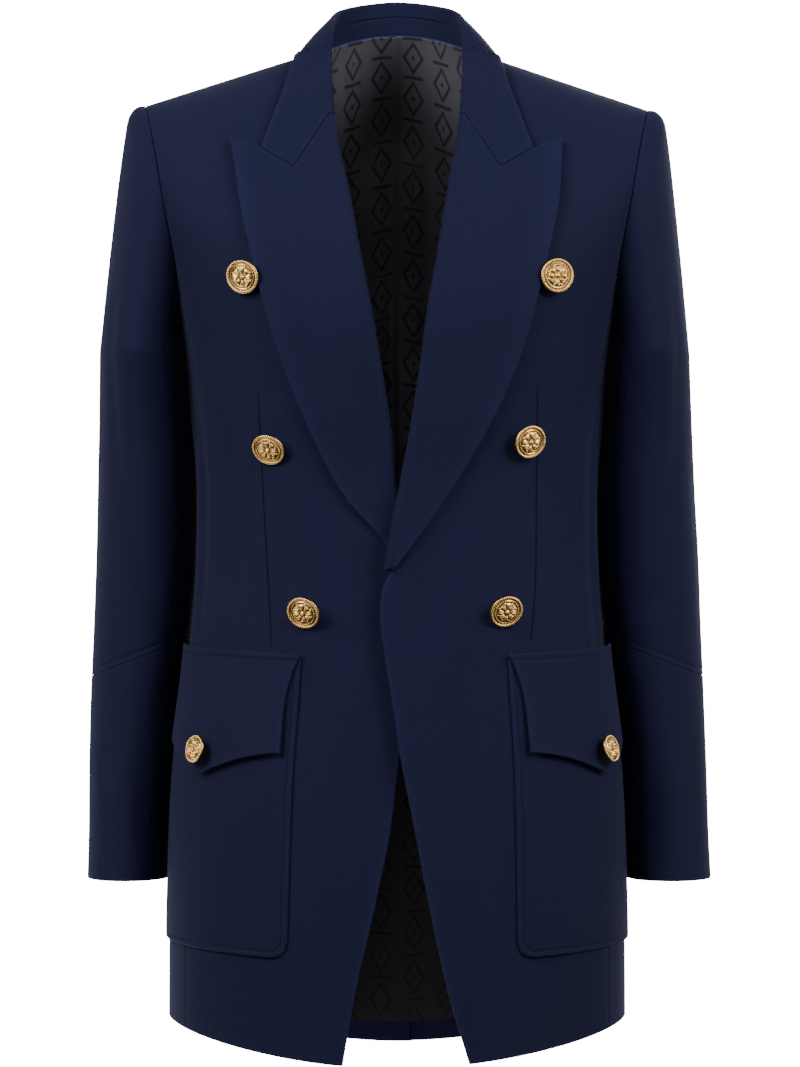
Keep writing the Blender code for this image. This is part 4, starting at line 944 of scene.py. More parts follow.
def sleeve_surface(turn, down, side):
    """Outer face of a sleeve at a turn in degrees round it and a distance down it.

    From 0 to 1 the cloth leaves the armhole outwards, rounds over and falls to the first full
    ring. From 1 to 2 it follows the sleeve's rings to the elbow seam, and from 2 to 3 to the cuff.
    """
    angle = np.radians(turn)
    sine, cosine = np.sin(angle), np.cos(angle)
    elbow = ELBOW_HEIGHT - ELBOW_SLANT * cosine
    height = np.where(down < 2, mix(SLEEVE_TOP, elbow, np.clip(down - 1, 0, 1)), mix(elbow, CUFF, down - 2))
    outer = through(SLEEVE, side_name(side) + "_outer", height)
    inner = through(SLEEVE, "inner", height)
    middle = through(SLEEVE, "centre", height)
    deep = through(SLEEVE, "half_depth", height)
    arm = point(side * ((outer + inner) / 2 + (outer - inner) / 2 * cosine), middle - deep * sine, height)

    root = armhole(turn, side)
    root = root + unit(point(side, -0.3 * sine, 0.2 * cosine)) * HALF_SEAM
    head = np.clip((cosine + HEAD_SPREAD) / (1 + HEAD_SPREAD), 0, 1)
    reach, drop = HEAD_REACH * head, HEAD_DROP * head
    outwards = unit(point(side, -0.5 * sine, 0.18 * cosine))
    rounding = np.clip(down / LEDGE_END, 0, 1) * math.pi / 2
    ledge = root + outwards * (reach * np.sin(rounding))[..., None]
    ledge = ledge + point(0, 0, -drop * (1 - np.cos(rounding)))
    settled = root + outwards * reach[..., None] + point(0, 0, -drop)
    fall = np.clip(down, 0, 1) ** (FALL_POWER + FALL_EXTRA * (1 + cosine))
    rest = arm - settled
    top = ledge + rest * np.stack([fall ** FALL_REACH, fall ** FALL_REACH, fall], axis=-1)
    return np.where((down < 1)[..., None], top, arm)


def sleeve_piece(side, first, last, downs):
    """One cut piece of a sleeve between two turns, with its folds, which fade at its seams."""
    step = bpy.context.scene.blazer_cloth.cell
    gap = math.degrees(SEAM / SLEEVE_GAP_RADIUS)
    turn = spaced(first + gap, last - gap, step / SLEEVE_STEP)[None, :] + 0 * downs[:, None]
    down = downs[:, None] + 0 * turn
    surface = sleeve_surface(turn, down, side)
    table = LEFT_SLEEVE_FOLDS if side == LEFT else RIGHT_SLEEVE_FOLDS
    depth = folds(table, turn, surface[..., 2], SLEEVE_STEP) * bpy.context.scene.blazer_cloth.fold_depth
    around = sleeve_surface(turn + 0.5, down, side) - sleeve_surface(turn - 0.5, down, side)
    high, low = np.clip(down + 0.01, 0, 3), np.clip(down - 0.01, 0, 3)
    along = sleeve_surface(turn, high, side) - sleeve_surface(turn, low, side)
    inwards = unit(np.cross(along, around)) * side
    return surface - inwards * (depth * ease(0.1, 0.5, down))[..., None]


# Pockets

def turn_of_arc(arc):
    """Degrees from the centre front of a distance measured round the body at pocket height."""
    turns = np.linspace(0, 140, 281)
    along = on_ring(turns, np.full_like(turns, POCKET_RING), RIGHT)
    reach = np.concatenate([[0], np.cumsum(np.linalg.norm(np.diff(along, axis=0), axis=1))])
    return np.interp(arc, reach, turns)


def pocket_place(side, from_first, above_foot, lift):
    """Point of the patch at a distance from its inner edge and a height above its foot."""
    share = from_first / POCKET_WIDTH
    foot, top = POCKET_FOOT + POCKET_FOOT_RISE * share, POCKET_TOP + POCKET_TOP_RISE * share
    up = above_foot / (top - foot)
    arc = POCKET_ARC[side] + from_first - POCKET_SKEW[side] * (1 - up) * (1 - share)
    return ring(turn_of_arc(arc), foot + above_foot, side, lift)


def patch_pocket(side):
    """Patch with round lower corners. A stitched groove runs along its sides and foot."""
    settings = bpy.context.scene.blazer_cloth
    near = np.linspace(0, POCKET_CORNER, 13)
    middle = spaced(POCKET_CORNER, POCKET_WIDTH - POCKET_CORNER, settings.cell)[1:-1]
    across = np.concatenate([near, middle, POCKET_WIDTH - near[::-1]])[None, :]
    share = across / POCKET_WIDTH
    full = POCKET_TOP - POCKET_FOOT - (POCKET_FOOT_RISE - POCKET_TOP_RISE) * share
    from_edge = np.minimum(across, POCKET_WIDTH - across)
    short = np.clip(POCKET_CORNER - from_edge, 0, POCKET_CORNER)
    rise = POCKET_CORNER - np.sqrt(POCKET_CORNER ** 2 - short ** 2)
    up = np.concatenate([np.linspace(0, 0.08, 16)[:-1], spaced(0.08, 1, settings.cell / 229)])[:, None]
    above = mix(rise, full, up)
    inset = POCKET_CORNER - np.hypot(short, np.clip(POCKET_CORNER - above, 0, POCKET_CORNER))
    grid = plain(pocket_place(side, across, above, POCKET_LIFT + POCKET_CLOTH))
    grid[..., 3] = 0.5 * np.exp(-((inset - settings.stitch_inset) / 0.7) ** 2)
    return grid


def pocket_stitches(side):
    """Line along the patch's sides and foot, round its corners, with its outward directions."""
    inset = bpy.context.scene.blazer_cloth.stitch_inset
    radius = POCKET_CORNER - inset
    angle = np.linspace(0, math.pi / 2, 12)
    height = POCKET_TOP - POCKET_FOOT - 6
    down = spaced(height, POCKET_CORNER, 4.0)
    over = spaced(POCKET_CORNER, POCKET_WIDTH - POCKET_CORNER, 4.0)
    across = np.concatenate([0 * down + inset, POCKET_CORNER - radius * np.cos(angle), over,
                             POCKET_WIDTH - POCKET_CORNER + radius * np.sin(angle),
                             0 * down + POCKET_WIDTH - inset])
    above = np.concatenate([down, POCKET_CORNER - radius * np.sin(angle), 0 * over + inset,
                            POCKET_CORNER - radius * np.cos(angle), down[::-1]])
    low = pocket_place(side, across, above, POCKET_LIFT + POCKET_CLOTH - 0.3)
    return low, unit(pocket_place(side, across, above, POCKET_LIFT + POCKET_CLOTH + 5) - low)


def flap_lift(down, turn):
    """Lift of a flap's inner face: it stands off towards its lower edge, but less round the side."""
    return FLAP_LIFT + FLAP_STAND_OFF * down ** 1.5 * (1 - ease(*FLAP_SIDE_TURNS, turn))


def flap(side):
    """Pocket flap with hollowed sides and a central point, standing off at its lower edge."""
    step = bpy.context.scene.blazer_cloth.cell
    across = spaced(-1, 1, 2 * step / POCKET_WIDTH)[None, :]
    down = spaced(0, 1, step / 90)[:, None]
    length = FLAP_LENGTH + FLAP_POINT * (1 - np.abs(across)) ** POINT_POWER
    drop = down * length
    hollow = FLAP_WAIST * (1 - (1 - np.clip(drop / WAIST_DROP, 0, 1)) ** 2)
    arc = POCKET_ARC[side] + POCKET_WIDTH / 2 + across * (POCKET_WIDTH / 2 - hollow)
    height = POCKET_TOP + FLAP_ABOVE + FLAP_TILT * (across + 1) - drop
    turn = turn_of_arc(arc)
    return ring(turn, height, side, flap_lift(down, turn) + FLAP_CLOTH)


# Buttons

def button_relief(radius, settings):
    """Face, rim, back and shank of a turned button as a grid of radius, angle and height.

    The rim is a round cord whose ridges slant. Inside it are a plain ring and a rosette: eight
    petals, each a bump in radius and angle, with a bead between each pair and a boss. A fourth
    value says how deep in a hollow of the relief a point lies.
    """
    share = radius / RELIEF_RADIUS
    angle = np.linspace(0, 2 * math.pi, 5 * settings.ridges, endpoint=False)[None, :]
    r = np.concatenate([np.linspace(0.05, 9.9, 36), np.linspace(10.05, 12.45, 17)])[:, None]
    dome = 2.6 - 0.010 * r ** 2
    petal = np.abs(np.cos(4 * angle)) ** 0.8 * np.exp(-((r - 4.9) / 2.0) ** 4) * 0.75
    vein = -0.3 * np.exp(-(np.sin(4 * angle) / 0.16) ** 2) * np.exp(-((r - 4.6) / 1.8) ** 4)
    bead = 0.55 * np.exp(-((r - 7.1) / 0.6) ** 2) * np.exp(-(np.cos(4 * angle) / 0.35) ** 2)
    boss = 0.9 * np.exp(-(r / 1.5) ** 4)
    plain_ring = 0.42 * np.exp(-((r - 8.9) / 0.42) ** 2)
    cord = np.sqrt(np.clip(1 - ((r - CORD_CENTRE) / CORD_RADIUS) ** 2, 0, 1))
    twist = 0.5 + 0.5 * np.cos(settings.ridges * angle + 2.6 * (r - CORD_CENTRE))
    rope = cord * (1.15 + 0.42 * twist) * (r > RIM_START)
    raised = petal + vein + bead + boss + plain_ring
    relief = np.where(r > RIM_START, 1.15, dome) + settings.relief * raised + rope
    hollow = np.where(r > RIM_START, 1 - cord * (0.35 + 0.65 * twist), np.clip(1 - raised / 0.4, 0, 1))
    under = [(12.5, 1.0), (12.3, 0.5), (11.6, 0.2), (2.4, -0.2), (2.2, -0.8), (2.0, -SHANK),
             (0.05, -SHANK)]
    low_r, low_z = (np.array(values)[:, None] + 0 * angle for values in zip(*under))
    all_r = np.concatenate([(r + 0 * angle), low_r]) * share
    all_z = np.concatenate([relief + 0 * angle, low_z])
    hollow = np.concatenate([hollow + 0 * angle, 0 * low_z + 0.6])
    places = point(all_r * np.cos(angle), all_r * np.sin(angle), all_z)
    return np.concatenate([places, hollow[..., None]], axis=-1)


def button(name, place, normal, radius, lean, swing):
    """Turned button whose shank ends just off the cloth at a place, hanging with its weight."""
    grid = button_relief(radius, bpy.context.scene.blazer_buttons)
    outwards = Vector(normal).normalized()
    level = Vector((0, 0, 1)).cross(outwards).normalized()
    tilt = Matrix.Rotation(math.radians(swing), 3, "Y") @ Matrix.Rotation(math.radians(lean), 3, "X")
    stand = Matrix((level, outwards.cross(level), outwards)).transposed() @ tilt
    foot = np.array(place) + np.array(outwards) * (SHANK + SHANK_GAP)
    rows, columns = grid.shape[:2]
    vertices = grid[..., :3].reshape(-1, 3) @ np.array(stand).T + foot
    index = np.arange(rows * columns).reshape(rows, columns)
    wrapped = np.roll(index, -1, axis=1)
    sides = np.stack([index[:-1], index[1:], wrapped[1:], wrapped[:-1]], axis=-1).reshape(-1, 4)
    top, foot_ring = index[0], index[-1]
    # the two small end rings are closed with strips of quads across them
    half = columns // 2
    across = np.arange(half - 1)
    face_cap = np.stack([top[across], top[across + 1], top[-across - 2], top[-across - 1]], axis=-1)
    foot_cap = np.stack([foot_ring[-across - 1], foot_ring[-across - 2], foot_ring[across + 1],
                         foot_ring[across]], axis=-1)
    piece = put_mesh(name + "_gilt", vertices, np.concatenate([sides, face_cap, foot_cap]), [finish("gilt")],
                     marks={"hollow": grid[..., 3].ravel()}, sharp=60)
    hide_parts(name)
    return piece


# Finishes

class Number:
    """A socket that holds a number. Sums on it add Math nodes."""

    def __init__(self, recipe, socket):
        self.recipe, self.socket = recipe, socket

    def do(self, operation, *others):
        return self.recipe.sum(operation, self, *others)

    __add__ = __radd__ = partialmethod(do, "ADD")
    __sub__ = partialmethod(do, "SUBTRACT")
    __mul__ = __rmul__ = partialmethod(do, "MULTIPLY")
    __truediv__ = partialmethod(do, "DIVIDE")
    __pow__ = partialmethod(do, "POWER")

    def __rsub__(self, other):
        return self.recipe.sum("SUBTRACT", other, self)

    def clamped(self):
        return self.do("MAXIMUM", 0.0).do("MINIMUM", 1.0)


class Recipe:
    """The nodes of one material."""

    def __init__(self, name):
        self.material = bpy.data.materials.new(name)
        self.material.use_nodes = True
        self.tree = self.material.node_tree
        self.shader = self.tree.nodes["Principled BSDF"]

    def node(self, kind, settings=(), sockets=()):
        """A node of a type, with its settings first and then its sockets, by name or number."""
        made = self.tree.nodes.new(kind)
        for name, value in dict(settings).items():
            setattr(made, name, value)
        for name, value in dict(sockets).items():
            self.feed(made.inputs[name], value)
        return made

    def feed(self, socket, value):
        if isinstance(value, Number):
            value = value.socket
        if isinstance(value, bpy.types.NodeSocket):
            self.tree.links.new(value, socket)
        else:
            socket.default_value = value

    def sum(self, operation, *values):
        made = self.node("ShaderNodeMath", {"operation": operation}, dict(enumerate(values)))
        return Number(self, made.outputs[0])

    def blend(self, share, first, second):
        sockets = {0: share, 6: (*first, 1) if isinstance(first, tuple) else first,
                   7: (*second, 1) if isinstance(second, tuple) else second}
        return self.node("ShaderNodeMix", {"data_type": "RGBA"}, sockets).outputs[2]

    def cut(self):
        """The two directions over the flat cut, in metres."""
        place = self.node("ShaderNodeUVMap", {"uv_map": "cut"}).outputs[0]
        split = self.node("ShaderNodeSeparateXYZ", (), {0: place})
        return place, Number(self, split.outputs[0]), Number(self, split.outputs[1])

    def noise(self, place, scale, detail=2.0, roughness=0.5):
        made = self.node("ShaderNodeTexNoise", (), {"Vector": place, "Scale": scale, "Detail": detail,
                                                    "Roughness": roughness})
        return Number(self, made.outputs[0])

    def attribute(self, name):
        return Number(self, self.node("ShaderNodeAttribute", {"attribute_name": name}).outputs["Fac"])

    def bump(self, height, distance, strength=1.0):
        sockets = {"Height": height, "Distance": distance, "Strength": strength}
        self.feed(self.shader.inputs["Normal"], self.node("ShaderNodeBump", (), sockets).outputs[0])

    def set(self, **values):
        for name, value in values.items():
            self.feed(self.shader.inputs[name.replace("_", " ")], value)
        return self.material


def shade(colour, factor):
    return tuple(min(1.0, part * factor) for part in colour)


def worsted(name, settings, painted_light_factor=1.0):
    """Navy twill: slanted ribs broken into dots by the weft, with painted shade where the cloth dips at seams
    and darts, paler on worn edges.
    """
    recipe = Recipe(name)
    place, u, v = recipe.cut()
    pitch = settings.twill_pitch
    rib = ((u + v * 0.8) * (2 * math.pi / pitch)).do("SINE")
    weft = ((u * 0.55 - v) * (2 * math.pi / (pitch * 0.8))).do("SINE")
    weave = (rib * 0.6 + weft * 0.4 + 1.0) * 0.5
    fibre = recipe.noise(place, 1400, 3, 0.6)
    cloud = recipe.noise(place, 28, 3, 0.55)
    wear, sunk = recipe.attribute("wear"), recipe.attribute("sunk")
    # painted light: the factor lightens the whole cloth colour where too little light reaches it
    navy = shade(tuple(settings.wool), painted_light_factor)
    contrast = settings.weave_contrast
    mask = (weave * 0.75 + fibre * 0.25).clamped()
    colour = recipe.blend(mask, shade(navy, 1 - contrast), shade(navy, 1 + contrast))
    colour = recipe.blend((cloud * 0.5).clamped(), colour, shade(navy, 1.12))
    colour = recipe.blend((wear * (fibre * 0.5 + 0.25)).clamped(), colour, shade(navy, 1.9))
    # painted shade: the cloth darkens by how deep its outer face dips, in seams, darts and stitched grooves,
    # less on worn edges
    seam = ((sunk - 0.22) * 2.6).clamped() * (1.0 - wear * 1.3).clamped()
    colour = recipe.blend(seam * 0.8, colour, shade(navy, 0.2))
    recipe.bump(weave * 0.7 + fibre * 0.4, settings.weave_relief * MM)
    return recipe.set(Base_Color=colour, Roughness=(0.66 + fibre * 0.16).clamped(),
                      Sheen_Weight=settings.sheen, Sheen_Roughness=0.45,
                      Sheen_Tint=(0.68, 0.72, 0.92, 1.0), Specular_IOR_Level=0.08)


def satin(name, settings):
    """Charcoal satin with a tonal figure of lozenges and short bars, in columns half dropped, and painted
    shade darkening it towards the hem.
    """
    recipe = Recipe(name)
    place, u, v = recipe.cut()
    column = u / settings.figure_width
    odd = column.do("FLOOR").do("MODULO", 2.0).do("ABSOLUTE")
    a = (column.do("FRACT") - 0.5).do("ABSOLUTE")
    b = ((v / settings.figure_height + odd * 0.5).do("FRACT") - 0.5).do("ABSOLUTE")
    lozenge = ((a * 2.1 + b * 1.7) - 0.62).do("ABSOLUTE")
    line = ((0.145 - lozenge) * 12).clamped()
    heart = ((0.16 - (a * 2.1 + b * 1.7)) * 12).clamped()
    far = 0.5 - b
    bar = ((0.055 - far) * 30).clamped() * ((0.34 - a) * 20).clamped()
    figure = line.do("MAXIMUM", heart).do("MAXIMUM", bar)
    strand = ((u * (2 * math.pi / 0.0009)).do("SINE") + 1.0) * 0.5
    fibre = recipe.noise(place, 900, 2, 0.5)
    ground = recipe.blend((strand * 0.5 + fibre * 0.5).clamped(), shade(tuple(settings.lining), 0.8),
                          shade(tuple(settings.lining), 1.25))
    colour = recipe.blend(figure, ground, tuple(settings.figure))
    whole = recipe.node("ShaderNodeTexCoord").outputs["Object"]
    height = recipe.node("ShaderNodeSeparateXYZ", (), {0: whole})
    # painted shade: the lining darkens towards the hem, where less light reaches inside the coat
    low = ((LINING_SHADE_HEIGHTS[0] - Number(recipe, height.outputs[2])) / (LINING_SHADE_HEIGHTS[0] - LINING_SHADE_HEIGHTS[1])).clamped()
    colour = recipe.blend(low * 0.6, colour, tuple(settings.figure))
    recipe.bump(strand * 0.3 - figure * 0.8, 0.00010)
    return recipe.set(Base_Color=colour, Roughness=(0.36 + figure * 0.16 + fibre * 0.08).clamped(),
                      Sheen_Weight=0.12, Sheen_Roughness=0.3, Specular_IOR_Level=0.2)


def gilt(name, settings):
    """Polished pale gold with brown tarnish in the hollows of its relief and fine scratches."""
    recipe = Recipe(name)
    place = recipe.node("ShaderNodeTexCoord").outputs["Object"]
    cloud = recipe.noise(place, 260, 3, 0.6)
    scratch = recipe.noise(place, 2600, 2, 0.7)
    gold = tuple(settings.gold)
    tarnish = (recipe.attribute("hollow") * (cloud * 0.5 + 0.6)).clamped()
    colour = recipe.blend((cloud * 0.5).clamped(), gold, shade(gold, 0.8))
    brown = (gold[0] * 0.16, gold[1] * 0.11, gold[2] * 0.08)
    colour = recipe.blend(tarnish * settings.tarnish, colour, brown)
    recipe.bump(scratch, 0.00002)
    return recipe.set(Base_Color=colour, Metallic=1.0,
                      Roughness=(0.09 + cloud * 0.06 + tarnish * 0.2).clamped())


def thread(name, settings):
    """Twisted navy sewing thread with a soft lustre."""
    recipe = Recipe(name)
    place = recipe.node("ShaderNodeTexCoord").outputs["Object"]
    ply = recipe.noise(place, 2400, 1, 0.5)
    navy = tuple(settings.wool)
    colour = recipe.blend(ply.clamped(), shade(navy, 0.7), shade(navy, 1.3))
    recipe.bump(ply, 0.00006)
    return recipe.set(Base_Color=colour, Roughness=(0.5 + ply * 0.15).clamped(), Sheen_Weight=0.08,
                      Sheen_Roughness=0.4, Specular_IOR_Level=0.05)


def plain_finish(name, colour, glow):
    recipe = Recipe(name)
    place = recipe.node("ShaderNodeTexCoord").outputs["Object"]
    grain = recipe.noise(place, 40, 2, 0.5)
    tone = recipe.blend(grain, shade(colour, 0.995), colour)
    return recipe.set(Base_Color=tone, Roughness=0.9, Emission_Color=(*colour, 1.0), Emission_Strength=glow)


def card_finish(name, glow):
    """Bright patches on a dim ground, which polished metal reflects."""
    recipe = Recipe(name)
    place = recipe.node("ShaderNodeTexCoord").outputs["Object"]
    patch = ((recipe.noise(place, 0.9, 1, 0.4) - 0.56) * 16.0).clamped()
    tone = recipe.blend(patch, (0.015, 0.015, 0.015), (1.0, 1.0, 1.0))
    return recipe.set(Base_Color=(0.0, 0.0, 0.0, 1.0), Emission_Color=tone, Emission_Strength=glow)


def finish(kind):
    """The named finish, made once."""
    made = bpy.data.materials.get(kind)
    if made:
        return made
    scene = bpy.context.scene
    # painted light: the backs' inner face gets a much lighter worsted, for the hem band
    if kind == "navy_hem":
        return worsted(kind, scene.blazer_cloth, HEM_PAINTED_LIGHT)
    makers = {"navy_worsted": worsted, "navy_thread": thread, "charcoal_satin": satin}
    if kind in makers:
        return makers[kind](kind, scene.blazer_cloth)
    return gilt(kind, scene.blazer_buttons)


# Settings

def amount(name, description, default, low, high, **more):
    return FloatProperty(name=name, description=description, default=default, min=low, max=high, **more)


def tint(name, description, default):
    return FloatVectorProperty(name=name, description=description, subtype="COLOR", size=3,
                               default=default, min=0.0, max=1.0)


class BlazerCloth(bpy.types.PropertyGroup):
    cell: amount("Cell", "Size of the cloth's mesh cells in millimetres", 3.6, 2.0, 12.0)
    thickness: amount("Thickness", "Thickness of the body cloth in millimetres", 1.9, 0.5, 2.4)
    seam_radius: amount("Seam rounding", "How round the cloth turns into a seam, mm", 0.55, 0.1, 1.2)
    edge_radius: amount("Edge rounding", "How round free edges are, mm", 0.95, 0.1, 1.2)
    fold_depth: amount("Fold depth", "Multiplies the depth of all soft folds",
                       1.0, 0.0, 2.0, subtype="FACTOR")
    stitch_inset: amount("Stitch inset", "Distance of stitching from the edge, mm", 5.0, 2.0, 10.0)
    twill_pitch: amount("Twill pitch", "Distance between the twill's ribs",
                        0.0021, 0.0002, 0.005, precision=5, unit="LENGTH")
    weave_contrast: amount("Weave contrast", "How far ribs and hollows differ",
                           0.8, 0.0, 0.9, subtype="FACTOR")
    weave_relief: amount("Weave relief", "Height of the weave in millimetres", 0.09, 0.0, 0.5)
    sheen: amount("Sheen", "Strength of the wool's soft sheen", 0.12, 0.0, 1.0, subtype="FACTOR")
    wool: tint("Wool", "Colour of the cloth", (0.0108, 0.0123, 0.0440))
    lining: tint("Lining", "Ground colour of the lining", (0.150, 0.143, 0.168))
    figure: tint("Figure", "Colour of the lining's woven figure", (0.046, 0.044, 0.052))
    figure_width: amount("Figure width", "Width of the lining's repeat",
                         0.027, 0.004, 0.1, precision=4, unit="LENGTH")
    figure_height: amount("Figure height", "Height of the lining's repeat",
                          0.036, 0.004, 0.1, precision=4, unit="LENGTH")


class BlazerButtons(bpy.types.PropertyGroup):
    ridges: IntProperty(name="Rope ridges", description="Ridges round the rim", default=48, min=12, max=90)
    relief: amount("Relief", "Multiplies the height of the rosette", 1.6, 0.0, 2.0, subtype="FACTOR")
    tarnish: amount("Tarnish", "How dark the hollows of the relief are", 1.0, 0.0, 1.0, subtype="FACTOR")
    gold: tint("Gold", "Colour of the metal", (0.95, 0.60, 0.20))


class BlazerStage(bpy.types.PropertyGroup):
    backdrop: tint("Backdrop", "Colour of the floor and backdrop", (0.9, 0.9, 0.9))
    glow: amount("Backdrop light", "How strongly the backdrop shines", 20.0, 0.0, 40.0)
    cards: amount("Reflector light", "Brightness of what the metal reflects", 4.5, 0.0, 20.0)
    room: amount("Room light", "Soft light from all round", 0.07, 0.0, 10.0)
    light: amount("Light", "Multiplies the lamps' power", 1.0, 0.0, 10.0, subtype="FACTOR")


# Stage, in metres and watts

Lamp = namedtuple("Lamp", "name x y z size power")
LAMPS = (
    Lamp("key_lamp", -1.6, -1.5, 0.9, 1.2, 46),
    Lamp("fill_lamp", 1.75, -1.5, 0.8, 1.2, 39),
    Lamp("back_lamp", 0.6, 3.0, 1.0, 1.8, 80),
)
LAMP_AIM_HEIGHT = -0.38
CAMERA_PLACE, CAMERA_LENS, CAMERA_SENSOR, CAMERA_REACH = (0.0023, -3.725, -0.377), 158.8, 36, 50
FLOOR_HEIGHT, FLOOR_RADIUS, BEND_RADIUS, WALL_HEIGHT = -1250, 6500, 3000, 12000


def bowl(name, scale, material):
    """Floor that bends up into a tall round wall: an outline of points turned round the upright axis."""
    bend = np.linspace(0, math.pi / 2, 16)
    reach = np.concatenate([[5.0], FLOOR_RADIUS + BEND_RADIUS * np.sin(bend), [FLOOR_RADIUS + BEND_RADIUS]])
    rise = np.concatenate([[0.0], BEND_RADIUS * (1 - np.cos(bend)), [WALL_HEIGHT]]) + FLOOR_HEIGHT
    turn = np.radians(np.arange(0, 361, 5) % 360)
    grid = scale * point(reach[:, None] * np.cos(turn), reach[:, None] * np.sin(turn), rise[:, None])
    made = put_mesh(name, grid.reshape(-1, 3), grid_faces(*grid.shape[:2])[:, ::-1], [material])
    return made


# Operators

def seam_edges(settings, free=(), seams=()):
    """Edge shapes: free edges are rounder and worn, seams are tight."""
    edges = {name: (settings.edge_radius, FREE_WEAR) for name in free}
    edges.update({name: (settings.seam_radius, SEAM_WEAR) for name in seams})
    return edges


class BLAZER_OT_fronts(bpy.types.Operator):
    """Build both fronts with their darts"""
    bl_idname = "blazer.fronts"
    bl_label = "Fronts"

    def execute(self, context):
        settings = context.scene.blazer_cloth
        for side in (LEFT, RIGHT):
            cut_piece("front_" + side_name(side), front_panel(side), settings.thickness,
                      (side * 0.3, -1, 0), seam_edges(settings, ["foot", "first"], ["top", "last"]),
                      "charcoal_satin", {"top": -SEAM_SLANT, "last": -ARMHOLE_SLANT})
        return {"FINISHED"}


class BLAZER_OT_sides(bpy.types.Operator):
    """Build the side pieces under the arms"""
    bl_idname = "blazer.sides"
    bl_label = "Side pieces"

    def execute(self, context):
        settings = context.scene.blazer_cloth
        edges = seam_edges(settings, ["foot"], ["top", "first", "last"])
        for side in (LEFT, RIGHT):
            cut_piece("side_panel_" + side_name(side), side_panel(side), settings.thickness,
                      (side, 0, 0), edges, "charcoal_satin",
                      {"first": SIDE_SLANT, "last": SIDE_SLANT, "top": -ARMHOLE_SLANT})
        return {"FINISHED"}


class BLAZER_OT_backs(bpy.types.Operator):
    """Build both halves of the back and the lining inside them"""
    bl_idname = "blazer.backs"
    bl_label = "Backs and lining"

    def execute(self, context):
        settings = context.scene.blazer_cloth
        edges = seam_edges(settings, ["foot"], ["top", "first", "last"])
        for side in (LEFT, RIGHT):
            cut_piece("back_" + side_name(side), back_panel(side), settings.thickness, (0, 1, 0),
                      edges, "navy_hem",
                      {"top": SEAM_SLANT, "last": -ARMHOLE_SLANT, "first": side * SEAM_SLANT})
        cut_piece("lining_back", back_lining(), LINING_CLOTH, (0, 1, 0), {}, "charcoal_satin",
                  outer="charcoal_satin")
        return {"FINISHED"}


class BLAZER_OT_lapels(bpy.types.Operator):
    """Build the lapels"""
    bl_idname = "blazer.lapels"
    bl_label = "Lapels"

    def execute(self, context):
        for side in (LEFT, RIGHT):
            where = side_name(side)
            cut_piece("lapel_" + where, offset(lapel(side), LAPEL_CLOTH, (0, -1, 0)), LAPEL_CLOTH,
                      (0, -1, 0), LAPEL_EDGES, grain=side * math.radians(LAPEL_GRAIN))
        return {"FINISHED"}


class BLAZER_OT_collar(bpy.types.Operator):
    """Build the upper collar and the stand inside the neck"""
    bl_idname = "blazer.collar"
    bl_label = "Collar"

    def execute(self, context):
        settings = context.scene.blazer_cloth
        stand_edges = seam_edges(settings, [], ["first", "last"])
        for name, grid, facing, edges in (("upper_collar", upper_collar(), (0, 0, 1), COLLAR_EDGES),
                                          ("collar_stand", collar_stand(), (0, -1, 0), stand_edges)):
            cut_piece(name, offset(grid, COLLAR_CLOTH, facing), COLLAR_CLOTH, facing, edges,
                      grain=math.pi / 2)
        return {"FINISHED"}


class BLAZER_OT_sleeves(bpy.types.Operator):
    """Build the sleeves, each of four cut pieces, with the stitching along the elbow seam"""
    bl_idname = "blazer.sleeves"
    bl_label = "Sleeves"

    def execute(self, context):
        settings = context.scene.blazer_cloth
        upper_end, lower_start = HALF_SEAM / 240, HALF_SEAM / 170
        upper = np.concatenate([np.linspace(0, LEDGE_END, 14)[:-1], spaced(LEDGE_END, 1, 0.018)[:-1],
                                spaced(1, 2 - upper_end, 0.016)])
        lower = spaced(2 + lower_start, 3, 0.022)
        for side in (LEFT, RIGHT):
            for part, first, last in (("top_sleeve", HIND_SEAM - 360, FOREARM_SEAM),
                                      ("under_sleeve", FOREARM_SEAM, HIND_SEAM)):
                facing = (side, 0, 0) if part == "top_sleeve" else (-side, 0, 0)
                for length, downs in (("upper", upper), ("lower", lower)):
                    name = f"{part}_{length}_{side_name(side)}"
                    grid = sleeve_piece(side, first, last, downs)
                    edges = seam_edges(settings, [], ["first", "last", "foot"])
                    over = SEAM_SLANT if part == "top_sleeve" else -SEAM_SLANT
                    slants = {"foot": SLEEVE_HEAD_SLANT, "first": over, "last": over}
                    if length == "upper":
                        edges["top"] = (*edges["foot"], (settings.stitch_inset, 0.35))
                        slants["top"] = -SEAM_SLANT
                        sew = partial(seam_stitches, name, way=-1)
                    else:
                        edges["top"] = (settings.edge_radius, FREE_WEAR)
                        slants["foot"] = SEAM_SLANT
                        sew = None
                    cut_piece(name, grid, SLEEVE_CLOTH - SLEEVE_THINNER, facing, edges, "charcoal_satin",
                              slants, sew=sew)
        return {"FINISHED"}


class BLAZER_OT_pockets(bpy.types.Operator):
    """Build the patch pockets and their flaps, with their stitching"""
    bl_idname = "blazer.pockets"
    bl_label = "Pockets and flaps"

    def execute(self, context):
        settings = context.scene.blazer_cloth
        flap_edges = {"foot": (*FLAP_FOOT_EDGE, (settings.stitch_inset, 0.4)), "top": FLAP_EDGE,
                      "first": FLAP_EDGE, "last": FLAP_EDGE}
        for side in (LEFT, RIGHT):
            where, facing = side_name(side), (side, -0.6, 0)

            def sew_pocket(grid):
                return stitch_line(f"pocket_{where}_stitches", *pocket_stitches(side))

            cut_piece("pocket_" + where, patch_pocket(side), POCKET_LIFT + POCKET_CLOTH - HALF_SEAM,
                      facing, POCKET_EDGES, sew=sew_pocket)
            cut_piece("flap_" + where, flap(side), FLAP_CLOTH, facing, flap_edges,
                      sew=partial(seam_stitches, "flap_" + where, trim=4))
        return {"FINISHED"}


